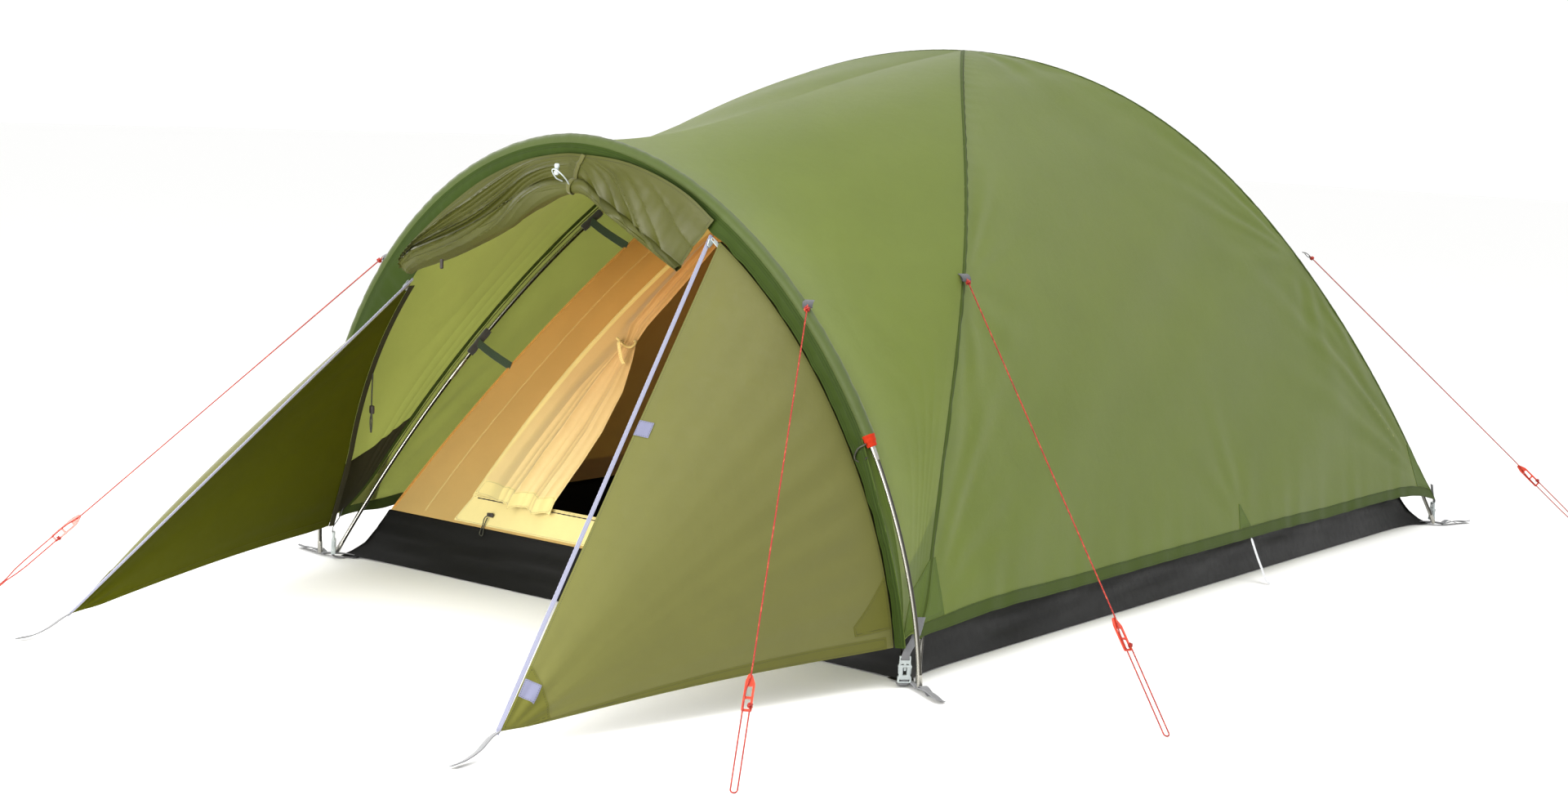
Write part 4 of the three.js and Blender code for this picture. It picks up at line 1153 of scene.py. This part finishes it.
def door_surface(a, w):
    """The gathered door: flat below the lip, then rolled round on itself along its lower edge."""
    a, w = np.broadcast_arrays(np.asarray(a, float), np.asarray(w, float))
    x0, z0, x1, z1 = door_edges(a)
    z0 = z0 - 7
    fall = np.hypot(x1 - x0, z1 - z0)
    down = np.stack([(x1 - x0) / fall, np.zeros_like(fall), (z1 - z0) / fall], -1)
    pinch = np.exp(-(((a - TIE_AT) / 0.05) ** 2))
    right = smooth((a - TIE_AT) / 0.1)
    left_end = smooth(a / 0.05)
    radius = (21 - 12 * right) * (1 - 0.42 * pinch) * (0.55 + 0.45 * left_end) * (1 - 0.35 * smooth((a - 0.85) / 0.15))
    radius = np.minimum(radius, fall * 0.34)
    flat = 0.40
    hang = fall - 2 * radius
    part = np.clip(w / flat, 0, 1)
    turn = np.clip((w - flat) / (1 - flat), 0, 1) * 1.75 * math.pi
    lean = 10 + 9 * smooth(part)
    along_fall = hang * part + radius * (1 - np.cos(turn))
    ahead = lean + radius * 1.05 * np.sin(turn) * np.where(turn > math.pi, 0.75, 1.0) + 4 * np.sin(math.pi * part)
    gap = np.abs(a - TIE_AT)
    lines_left = w * 5.6 + 1.6 * a + 0.30 * ripples(a * 800, w * 120, 71, 300)
    lines_right = 6.0 * np.arctan2(w * 0.5 + 0.02, gap + 0.04) / math.pi + 0.18 * ripples(a * 800, w * 120, 74, 420)
    lines = np.where(a < TIE_AT, lines_left, lines_right)
    depth = np.minimum(14.0, 3 + gap * 70) * (1 - 0.15 * right)
    crease = folds(lines, 0.35)
    second = folds(lines * 2.3 + 0.6 * ripples(a * 500, w * 60, 75, 330), 0.35)
    relief = depth * (crease - 0.25) + 0.4 * depth * (second - 0.3)
    gathers = 1.4 * ripples(a * 830, w * 60, 72, 90, 0.6, 0.6) + 0.45 * ripples(a * 830, w * 90, 73, 34, 0.9, 0.7)
    relief = (relief + gathers) * smooth(w / 0.14) * (1 - 0.45 * pinch)
    along_fall = along_fall + 0.35 * relief * np.cos(turn) * smooth(w / 0.3)
    made = point(x0, 0, z0) + down * along_fall[..., None]
    made[..., 1] = -1150 - 0.088 * made[..., 2] - 13 - ahead - relief * np.where(turn > math.pi / 2, 0.6, 1.0)
    return made


a, w = np.meshgrid(np.linspace(0, 1, 360), np.linspace(0, 1, 150))
door_grid = door_surface(a, w)
door = cloth("rolled_door_cloth", door_grid, door_cloth, door_cloth, core=(-40, -1000, 650))
keep_piece(door, TENT, "rolled_door")

strap_line = np.array([door_surface(TIE_AT + 0.035 * (1 - w), w) for w in np.linspace(0.0, 0.98, 44)])
strap_line[:, 1] -= 2.5
keep_piece(ribbon("door_tie_strap", strap_line, unit((1, 0, -0.25)), 9, 1.2, door_tie_cloth, 0.0, (0, -1, 0)))
barrel = np.linspace((24, -1303, 823), (23, -1303, 803), 21)
toggle_shape = 4.8 - 1.9 * np.exp(-((np.linspace(-1, 1, 21) / 0.3) ** 2)) - 2.0 * np.abs(np.linspace(-1, 1, 21)) ** 8
keep_piece(tube("door_toggle", barrel, toggle_shape, buckle_grey, 16), TENT, "door_tie_toggle")
cord_loop = resampled([(16, -1280, 792), (16, -1296, 798), (17, -1307, 812), (24, -1308, 813), (31, -1304, 808), (34, -1290, 796), (30, -1278, 788)], 2)
keep_piece(tube("door_toggle_loop", cord_loop, 1.2, buckle_grey, 8))
small_toggle = np.linspace((-290, -1262, 632), (-286, -1266, 616), 11)
keep_piece(tube("door_end_toggle", small_toggle, 3.2, dark_plastic, 12))

INNER = (655.0, 1121.0, 1003.0)


def inner_x(t):
    return INNER[0] * t - 85 * np.sin(math.pi * np.clip(t, 0, 1) ** 1.5)


def inner_point(t, x, y):
    return point(x, y, INNER[2] * profile(t))


# ------------------------------------------------------------------ poles
def pole_path(front, rear, lift, count=150):
    foot = 1 - 5.2 / (2.32 * POLES[2])
    f = np.linspace(0, 1, count)
    first = leg(POLES, front, foot * (1 - f**1.15), lift)
    second = leg(POLES, rear, foot * (1 - f**1.15), lift)[::-1][1:]
    return np.concatenate([first, second])


def add_pole(name, path, node, joints):
    length = np.concatenate([[0], np.cumsum(np.linalg.norm(np.diff(path, axis=0), axis=1))])
    even = np.linspace(0, length[-1], 900)
    path = np.stack([np.interp(even, length, path[:, k]) for k in range(3)], axis=-1)
    radius = np.full(len(even), 4.25)
    radius = radius - 0.9 * np.exp(-even / 3) - 0.9 * np.exp(-(even[-1] - even) / 3)
    keep_piece(tube(name, path, radius, metal_pole, 16), TENT, node)
    for k in range(1, joints):
        at = length[-1] * k / joints
        span = np.linspace(at - 26, at + 26, 9)
        sleeve = np.stack([np.interp(span, even, path[:, i]) for i in range(3)], axis=-1)
        bulge = np.array([4.35, 4.85, 4.9, 4.9, 4.55, 4.9, 4.9, 4.85, 4.35])
        keep_piece(tube(f"{name}_joint_{k}", sleeve, bulge, pole_joint, 16))
    for end, spot in (("a", even[:1]), ("b", even[-1:])):
        way = unit(path[0] - path[3]) if end == "a" else unit(path[-1] - path[-4])
        foot = path[0] if end == "a" else path[-1]
        tip = np.array([foot - way * 24, foot - way * 22, foot - way * 2, foot])
        keep_piece(tube(f"{name}_tip_{end}", tip, [4.5, 4.9, 4.9, 3.6], pole_joint, 16))


add_pole("pole_fr_rl", pole_path("fr", "rl", 5.2), "main_pole_a", 8)
add_pole("pole_fl_rr", pole_path("fl", "rr", -5.2), "main_pole_b", 8)
add_pole("pole_arch", hoop_line(5.2, 0, 0, 240), "arch_pole", 6)

for name, t in (("upper", 0.62), ("lower", 0.79)):
    before, after = leg(POLES, "fl", t - 0.014, -5.2), leg(POLES, "fl", t + 0.014, -5.2)
    path = np.linspace(before, after, 17)
    bumps = 7.4 + 0.7 * np.sin(np.linspace(0, 3 * math.pi, 17)) ** 2
    keep_piece(tube(f"tie_wrap_{name}", path, bumps, tie_cloth, 16), TENT, f"pole_tie_{name}")
    middle = (before + after) / 2
    edge = inner_point(t + 0.012, -inner_x(t + 0.012), -INNER[1] * (t + 0.012))
    line = resampled([middle + (4, -6, -2), middle * 0.7 + edge * 0.3 + (0, -5, -1), middle * 0.35 + edge * 0.65 + (0, -3, 0), edge + (6, -1, 0)], 5)
    keep_piece(ribbon(f"tie_strap_{name}", line, (0.15, 0.2, 0.95), 17, 1.4, green_tape, 0.0, (0, -1, -0.3)))
for name, corner in (("left", "fl"), ("right", "fr")):
    # partly a dark binding inside the front ridge seams, partly painted shadow beside the poles
    along = np.linspace(0.04, 0.93, 120)
    binding = leg(POLES, corner, along, -5.2 if name == "left" else 5.2) + np.array((6.0 if name == "right" else -6.0, -5.0, 6.0))
    keep_piece(ribbon(f"ridge_binding_and_shadow_{name}", binding, (0.2, 0.6, 0.75), 9, 1.2, dark_trim_and_shade, 0.0, (0, -1, -0.5)))

for side, sign in (("right", 1), ("left", -1)):
    angles = np.linspace(hoop_angle(SLEEVE_END + 1), hoop_angle(SLEEVE_END - 17), 15)
    radius = 11.4 + 0.3 * np.sin(np.linspace(0, 5 * math.pi, 15)) - 3.6 * np.linspace(0, 1, 15) ** 1.5
    keep_piece(tube(f"sleeve_end_{side}", hoop_point(sign * angles), radius, cap_cloth, 20), TENT, f"sleeve_cap_{side}")
    base = hoop_point(np.array(sign * hoop_angle(SLEEVE_END - 16)))
    loop = resampled([base + (sign * -4, -12, 4), base + (sign * -16, -18, -6), base + (sign * -22, -14, -24), base + (sign * -12, -8, -28), base + (sign * -2, -10, -18)], 3)
    keep_piece(tube(f"sleeve_end_loop_{side}", loop, 1.6, cord_dark, 8))


# ------------------------------------------------------------------ inner tent
def inner_side(sign, seed):
    def surface(s, f):
        s, f = np.broadcast_arrays(np.asarray(s, float), np.asarray(f, float))
        t = 0.012 + (0.955 - 0.012) * f
        reach = INNER[1] * t - 1
        made = inner_point(t, sign * inner_x(t), reach * (2 * s - 1))
        relief = 5 * ripples(s * 2100, f * 1400, seed, 500) * np.sin(math.pi * s) * np.sin(math.pi * f)
        made[..., 0] += sign * relief
        return made

    return surface


def inner_rear(s, f):
    s, f = np.broadcast_arrays(np.asarray(s, float), np.asarray(f, float))
    t = 0.012 + (0.955 - 0.012) * f
    made = inner_point(t, (inner_x(t) - 0.8) * (2 * s - 1), INNER[1] * t)
    made[..., 1] += 4 * ripples(s * 1300, f * 1400, 84, 400) * np.sin(math.pi * s) * np.sin(math.pi * f)
    return made


def door_half(t):
    return 392 + (t - 0.93) * 767


def inner_front(c, t):
    """Front wall of the inner tent: the doorway lies at |c| < 0.5."""
    c, t = np.broadcast_arrays(np.asarray(c, float), np.asarray(t, float))
    reach = inner_x(t) - 0.8
    closed = reach * 62 / (inner_x(0.5) - 0.8)
    edge = np.where(t < 0.5, closed, np.minimum(door_half(t), reach * 0.86))
    outer = np.abs(c) > 0.5
    x = np.where(outer, edge + (reach - edge) * (np.abs(c) - 0.5) * 2, edge * np.abs(c) * 2) * np.sign(c)
    made = inner_point(t, x, -INNER[1] * t)
    fine = ripples(x, t * 1400, 86, 190, 0.4, 0.6) + 0.6 * ripples(x, t * 1400, 87, 80, 0.5, 0.6)
    made[..., 1] += 2.4 * fine * np.sin(math.pi * np.clip(t / 0.955, 0, 1)) * smooth((reach - np.abs(x)) / 40)
    return made


for side, sign, seed in (("right", 1, 81), ("left", -1, 82)):
    made, area = panel(f"inner_cloth_{side}", inner_side(sign, seed), np.linspace(0, 1, 90), np.linspace(0, 1, 60), inner_out, inner_out, (0, 0, 250))
    keep_piece(made, TENT, f"inner_{side}_wall")
made, area = panel("inner_cloth_rear", inner_rear, np.linspace(0, 1, 70), np.linspace(0, 1, 60), inner_out, inner_out, (0, 0, 250))
keep_piece(made, TENT, "inner_rear_wall")

c_values = np.concatenate([np.linspace(-1, -0.5, 40), np.linspace(-0.5, 0.5, 30)[1:-1], np.linspace(0.5, 1, 40)])
t_values = np.concatenate([np.linspace(0.012, 0.5, 40), np.linspace(0.5, 0.93, 80)[1:], np.linspace(0.93, 0.955, 8)[1:]])
c, t = np.meshgrid(c_values, t_values)
keep = ~((np.abs(c[:-1, :-1] + c[:-1, 1:]) / 2 < 0.5) & (t[:-1, :-1] >= 0.4999) & (t[1:, :-1] <= 0.9301))
front_grid = inner_front(c, t)
front = cloth("inner_cloth_front", front_grid, inner_out, inner_out, keep=keep)
keep_piece(front, TENT, "inner_front_wall")

front_core = (0, -300, 300)
patch("door_tape_left", inner_front, ((-0.56, 0.5), (-0.497, 0.5), (-0.497, 0.93), (-0.545, 0.93)), inner_trim, core=front_core, size=(6, 70))
patch("door_tape_right", inner_front, ((0.497, 0.5), (0.56, 0.5), (0.545, 0.93), (0.497, 0.93)), inner_trim, core=front_core, size=(6, 70))
patch("door_tape_top", inner_front, ((-0.56, 0.488), (0.56, 0.488), (0.5, 0.502), (-0.5, 0.502)), inner_trim, core=front_core, size=(30, 6))
patch("door_sill", inner_front, ((-0.535, 0.9285), (0.535, 0.9285), (0.56, 0.953), (-0.56, 0.953)), inner_trim, core=front_core, size=(90, 8))
patch("front_seam_left", inner_front, ((-0.79, 0.3), (-0.775, 0.3), (-0.775, 0.95), (-0.785, 0.95)), inner_seam, lift=0.3, core=front_core, size=(4, 70))
for name, sign in (("left", -1), ("right", 1)):
    corners = ((sign * 0.985, 0.05), (sign * 1.0, 0.05), (sign * 1.0, 0.953), (sign * 0.985, 0.953))
    patch(f"inner_binding_{name}", inner_front, corners, inner_bind, lift=1.0, thickness=2.0, core=front_core, size=(4, 90))
for name, surface in (("rear", inner_rear), ("right_side", inner_side(1, 81)), ("left_side", inner_side(-1, 82))):
    patch(f"inner_hem_{name}", surface, ((0, 0.975), (1, 0.975), (1, 1.0), (0, 1.0)), inner_bind, lift=0.5, core=(0, 0, 250), size=(60, 5))

# zip along the sill, and its slider with a cord pull
sill_zip = np.array([inner_front(c, 0.9305) for c in np.linspace(-0.5, 0.5, 240)]) + (0, -2.2, -1)
keep_piece(tube("sill_zip_teeth", sill_zip, 1.1 + 0.25 * np.sin(np.arange(240) * math.pi / 2), dark_plastic, 6))
side_zip = np.array([inner_front(-0.502, t) for t in np.linspace(0.5, 0.93, 240)]) + (0, -2.0, 0)
keep_piece(tube("door_zip_teeth", side_zip, 0.9 + 0.2 * np.sin(np.arange(240) * math.pi / 2), inner_trim, 6))
low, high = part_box("inner_zip_slider")
spot = (np.array(low) + np.array(high)) / 2 / UNIT
wedge = rounded([(-8, -3.5), (7, -4.5), (8, 0), (7, 4.5), (-8, 3.5)], 2)
slider = plate("inner_slider", [wedge], 4.0, 0.9, dark_plastic, placed(spot, (1, 0, 0), (0, 0, 1)))
keep_piece(slider, "inner_zip_slider", "inner_zip_slider")
pull = resampled([spot + (0, -3, 0), spot + (-6, -7, -4), spot + (-10, -10, -20), spot + (-14, -12, -40), spot + (-11, -12, -41), spot + (-6, -10, -20), spot + (-2, -6, -5)], 2)
keep_piece(tube("inner_slider_cord", pull, 1.1, cord_dark, 8), "inner_zip_slider")


def flap_surface(a, b):
    """The inner door, sewn on at its left edge and gathered: b runs from its top, past the tie at 0.58, to its hem."""
    a, b = np.broadcast_arrays(np.asarray(a, float), np.asarray(b, float))
    t = 0.51 + (0.9325 - 0.51) * b
    side = (a + 1) / 2
    left = -door_half(t) - 1
    keys = np.array([0.51, 0.60, 0.66, 0.703, 0.734, 0.755, 0.775, 0.81, 0.852, 0.883, 0.922])
    right = np.interp(t, keys, [-34, -84, -108, -129, -149, -156, -146, -134, -141, -159, -188])
    tie = np.interp(t, keys, [-60, -116, -148, -172, -190, -182, -200, -236, -268, -292, -318])
    hinge = 0.34
    x = np.where(side < hinge, left + (tie - left) * side / hinge, tie + (right - tie) * (side - hinge) / (1 - hinge))
    loose = smooth((side - 0.12) / 0.3)
    spread = np.interp(t, keys, [8, 9, 10, 9, 7, 6, 8, 12, 15, 16, 17])
    fan = np.clip((side - hinge) / (1 - hinge), 0, 1)
    lines = 2.3 * fan + 0.12 * ripples(b * 260, fan * 60, 91, 240) + 0.35
    relief = spread * (folds(lines, 0.85) - 0.4) * loose + 0.22 * spread * (folds(lines * 2.6 + 0.4, 0.8) - 0.4) * loose
    relief = relief + 1.5 * ripples(x, b * 420, 92, 150) * loose
    ahead = 4 + 26 * loose * (1 - 0.35 * fan) + relief
    z = INNER[2] * profile(t) + 12 * b**10 * (1 - side) - 3 * b**6 * relief / 10
    return point(x, -INNER[1] * t - ahead, z)


a, b = np.meshgrid(np.linspace(-1, 1, 90), np.linspace(0, 1, 120))
flap_grid = flap_surface(a, b)
flap = cloth("inner_door_cloth", flap_grid, flap_cloth, flap_cloth, core=(-150, 0, 300))
keep_piece(flap, TENT, "inner_door_flap")
hem = sample(flap_surface, ((-1, 0.965), (1, 0.965), (1, 1.0), (-1, 1.0)), 90, 5)
keep_piece(cloth("inner_door_hem", hem, inner_trim, thickness=2.0, lift=0.6, core=(-150, 0, 300)))
low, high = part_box("inner_door_tie")
tie_low = (np.array(low) + np.array(high)) / 2 / UNIT
knot_at = np.array(inner_point(0.755, -168, -INNER[1] * 0.755 - 44))
band = [knot_at + (20 * math.cos(x), 15 * math.sin(x) + 10, 5 * math.sin(2 * x) - 3 * math.cos(x)) for x in np.linspace(0, 2 * math.pi, 40)]
keep_piece(tube("door_tie_band", band, 2.4, inner_trim, 8))
tail = resampled([knot_at, tie_low + (-4, -4, 18), tie_low + (0, -4, 0), tie_low + (5, -3, -16), tie_low + (9, -2, -22)], 3)
keep_piece(ribbon("door_tie_tail", tail, (0.9, 0, 0.3), 8, 2.0, inner_trim, 0, (0, -1, 0)), TENT, "inner_door_tie")


# ------------------------------------------------------------------ groundsheet tub
def tub_grid():
    cells = np.unique(np.concatenate([np.linspace(-1, 1, 100), [-0.98, 0.98], np.linspace(-0.999, -0.98, 4), np.linspace(0.98, 0.999, 4)]))
    wall = np.linspace(0, 1, 11)[1:]
    u_values = np.concatenate([-1 - wall[::-1], cells, 1 + wall])
    u, v = np.meshgrid(u_values, u_values)
    iu, iv = np.clip(u, -1, 1), np.clip(v, -1, 1)
    climb = np.maximum(np.abs(u) - 1, np.abs(v) - 1)
    climb = np.clip(climb, 0, 1)
    lean = 38 * climb
    bend_x = 9 * np.sin(math.pi * (iv * 0.5 + 0.5)) * climb * (1 - climb) * 4 * 0.2
    x = np.sign(u) * np.minimum(np.abs(iu) * 655, 655 - lean)
    y = np.sign(v) * np.minimum(np.abs(iv) * 1105, 1105 - lean)
    z = 99 * climb
    flat = climb <= 0
    z = z + np.where(flat, 1.6 + 1.4 * ripples(x, y, 95, 240) * smooth((1 - np.abs(iu)) / 0.05) * smooth((1 - np.abs(iv)) / 0.05), 0)
    drape = np.sin(math.pi * climb)
    along = np.where(np.abs(u) > 1, y, x)
    push = 5.0 * drape * ripples(along, climb * 120, 96, 420, 0, 0.2) + 2.6 * drape * ripples(along * 0.3, climb * 100, 97, 46, 1.57, 0.3)
    x = x - np.where(np.abs(u) > 1, np.sign(u) * (push + 3 * drape), 0)
    y = y - np.where(np.abs(v) > 1, np.sign(v) * (push + 3 * drape), 0)
    near = np.exp(-np.hypot(np.abs(x) - 655, np.abs(y) - 1105) / 42) * (1 - climb) ** 2
    x = x + np.sign(x) * 30 * near
    y = y + np.sign(y) * 17 * near
    return point(x, y, np.maximum(z, 0.9) + 3.6 * near), u, v


grid, u, v = tub_grid()
both = (np.abs(u) > 1.0001) & (np.abs(v) > 1.0001)
low_corner = ~(both[:-1, :-1] | both[1:, 1:] | both[:-1, 1:] | both[1:, :-1])
tub = cloth("tub_cloth", grid, tub_cloth, tub_cloth, thickness=0.9, core=(0, 0, 60), keep=low_corner)
keep_piece(tub, TENT, "groundsheet_tub")


# ------------------------------------------------------------------ corners
TAILS = {"fr": (794, -1190), "fl": (-812, -1128), "rr": (752, 1236), "rl": (-790, 1196)}


def buckle(corner, sx, sy):
    turn = -sx * sy * math.pi / 4
    face = np.array((math.cos(turn), math.sin(turn), 0.0))
    at = np.array((sx * 690.0, sy * 1146.0, 8.0))
    shell = rounded(
        [(-11.5, 0), (11.5, 0), (11.5, 9), (9.2, 13), (9.2, 22), (11.5, 26), (11.0, 30), (-11.0, 30), (-11.5, 26), (-9.2, 22), (-9.2, 13), (-11.5, 9)], 1.6
    )
    slot = rounded([(-8.5, 2.6), (8.5, 2.6), (8.5, 5.6), (-8.5, 5.6)], 1.0)
    window = rounded([(-3.4, 13), (3.4, 13), (3.4, 26), (-3.4, 26)], 1.2)
    placement = placed(at, face, (0, 0, 1))
    made = plate(f"buckle_shell_{corner}", [shell, slot, window], 9.0, 1.6, buckle_grey, placement)
    keep_piece(made, TENT, f"buckle_body_{corner}")
    latch = rounded(
        [(-9.5, 45), (9.5, 45), (9.5, 33), (11.2, 26), (10.6, 15), (8.2, 12), (7.2, 18), (6.8, 31), (2.2, 32), (2.2, 20), (-2.2, 20), (-2.2, 32), (-6.8, 31), (-7.2, 18), (-8.2, 12), (-10.6, 15), (-11.2, 26), (-9.5, 33)], 1.2
    )
    eye = rounded([(-7.5, 38), (7.5, 38), (7.5, 42), (-7.5, 42)], 1.0)
    made = plate(f"buckle_latch_{corner}", [latch, eye], 4.6, 0.8, buckle_grey, placement)
    keep_piece(made, f"buckle_catch_{corner}", f"buckle_catch_{corner}")

    fly_corner = drawn_to_buckles(leg(DOME, corner, HEM))
    out = unit((sx, sy, 0))
    top = at + (0, 0, 40)
    path = resampled([fly_corner + out * 2 + (0, 0, 12), fly_corner * 0.6 + top * 0.4 + out * 3, top + out * 2 + (0, 0, 5), top + (0, 0, -1)], 3)
    strap = ribbon(f"buckle_strap_{corner}", path, face, 14, 1.6, grey_web, 0.0, out)
    keep_piece(strap)
    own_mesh(strap)
    lower = resampled([at + (0, 0, 4.5), at + (0, 0, -1) + out * 2, at - (sx * 5, sy * 2, 5.0), at - (sx * 18, sy * 14, 5.6)], 3)
    keep_piece(ribbon(f"buckle_anchor_{corner}", lower, face, 14, 1.4, grey_web, 0.0, out))


for corner in ("fr", "fl", "rr", "rl"):
    sx = 1 if corner[1] == "r" else -1
    sy = -1 if corner[0] == "f" else 1
    tail = np.array((*TAILS[corner], 0.0))
    start = np.array((sx * 660.0, sy * 1110.0, 0.0))
    foot = np.array((sx * 716.0, sy * 1142.0, 0.0))
    path = resampled([start, foot, foot * 0.5 + tail * 0.5, tail], 4)
    path[:, 2] = 2.6 + 3.4 * np.abs(np.sin(np.linspace(0, 2.2 * math.pi, len(path))))
    across = np.cross(tail - start, (0, 0, 1.0))
    tilted = unit(across) + np.array((0, 0, 0.3 if corner[1] == "r" else -0.3))
    strap = ribbon(f"ground_webbing_{corner}", path, tilted, 20, 2.0, grey_web, 0.0, (0, 0, 1), ends=11)
    keep_piece(strap, TENT, f"corner_webbing_{corner}")
    loop_end = foot + unit(tail - foot) * 34
    loop = resampled([foot + (0, 0, 2.6), foot * 0.4 + loop_end * 0.6 + (0, 0, 10), loop_end + (0, 0, 7), tail * 0.25 + loop_end * 0.75 + (0, 0, 2.4)], 3)
    keep_piece(ribbon(f"pin_loop_{corner}", loop, across, 15, 1.4, grey_web, 0.0, (0, 0, 1)))
    buckle(corner, sx, sy)
    tub_tip = np.array([(sx * 652.0, sy * 1102.0, 2.0), (sx * 668.0, sy * 1112.0, 2.2), (sx * 684.0, sy * 1122.0, 2.6)])
    keep_piece(ribbon(f"tub_corner_{corner}", tub_tip, across, [46, 34, 20], 1.6, tub_cloth, 0.3, (0, 0, 1)))

for side, sign in (("right", 1), ("left", -1)):
    path = resampled([(sign * 696, 124, 92), (sign * 702, 124, 78), (sign * 722, 128, 32), (sign * 737, 131, 4), (sign * 742, 132, 1.2)], 4)
    strap = ribbon(f"elastic_loop_{side}", path, (0, 1, 0), 8, 1.5, white_elastic, 0.0, (sign, 0, 0.5), ends=5)
    keep_piece(strap, TENT, f"side_peg_loop_{side}")

# ------------------------------------------------------------------ guy tabs on the ridges and the hoop
for guy in GUYS:
    tab, along, level, over, total, start = guy_frame(guy)
    root = tab - along * 17 - over * 2
    path = resampled([root - over * 3, tab - along * 8, tab + along * 3, tab + along * 5.5 - over * 2, tab + along * 2 - over * 4.4, tab - along * 10 - over * 5], 2)
    keep_piece(ribbon(f"guy_tab_{guy}", path, level, np.linspace(20, 14, len(path)), 1.6, tab_web, 0.0))


# ------------------------------------------------------------------ floor and light
def add_floor():
    material = bpy.data.materials.new("studio_floor")
    material.use_nodes = True
    shader = material.node_tree.nodes["Principled BSDF"]
    shader.inputs["Base Color"].default_value = (0.93, 0.93, 0.92, 1)
    shader.inputs["Roughness"].default_value = 0.9
    mesh = bpy.data.meshes.new("floor")
    mesh.from_pydata([(-30, -30, 0), (30, -30, 0), (30, 30, 0), (-30, 30, 0)], [], [(0, 1, 2, 3)])
    mesh.materials.append(material)
    floor = bpy.data.objects.new("floor", mesh)
    floor.location.z = -0.0005
    bpy.context.collection.objects.link(floor)


def add_light(name, location, target, size, power, colour=(1, 1, 1)):
    data = bpy.data.lights.new(name, "AREA")
    data.energy = power
    data.size = size
    data.color = colour
    lamp = bpy.data.objects.new(name, data)
    lamp.location = location
    way = Vector(target) - Vector(location)
    lamp.visible_camera = False
    lamp.rotation_euler = way.to_track_quat("-Z", "Y").to_euler()
    bpy.context.collection.objects.link(lamp)


add_floor()
world = bpy.data.worlds.new("studio")
world.use_nodes = True
world.node_tree.nodes["Background"].inputs["Color"].default_value = (1, 1, 1, 1)
world.node_tree.nodes["Background"].inputs["Strength"].default_value = 1.06
bpy.context.scene.world = world
add_light("key", (1.9, -0.9, 4.3), (0, 0, 0.4), 2.4, 128)
add_light("left", (-3.0, -0.7, 1.9), (-0.5, -0.7, 0.45), 2.0, 40)
add_light("front", (1.6, -5.0, 1.6), (0, -1.2, 0.35), 1.6, 36, (1, 0.97, 0.92))
add_light("doorway", (0.2, -2.9, 0.6), (-0.3, -1.0, 0.45), 0.9, 36, (1, 0.98, 0.94))
add_light("cabin", (0, -0.1, 0.72), (0, -0.1, 0), 0.15, 2.5, (1, 0.93, 0.8))
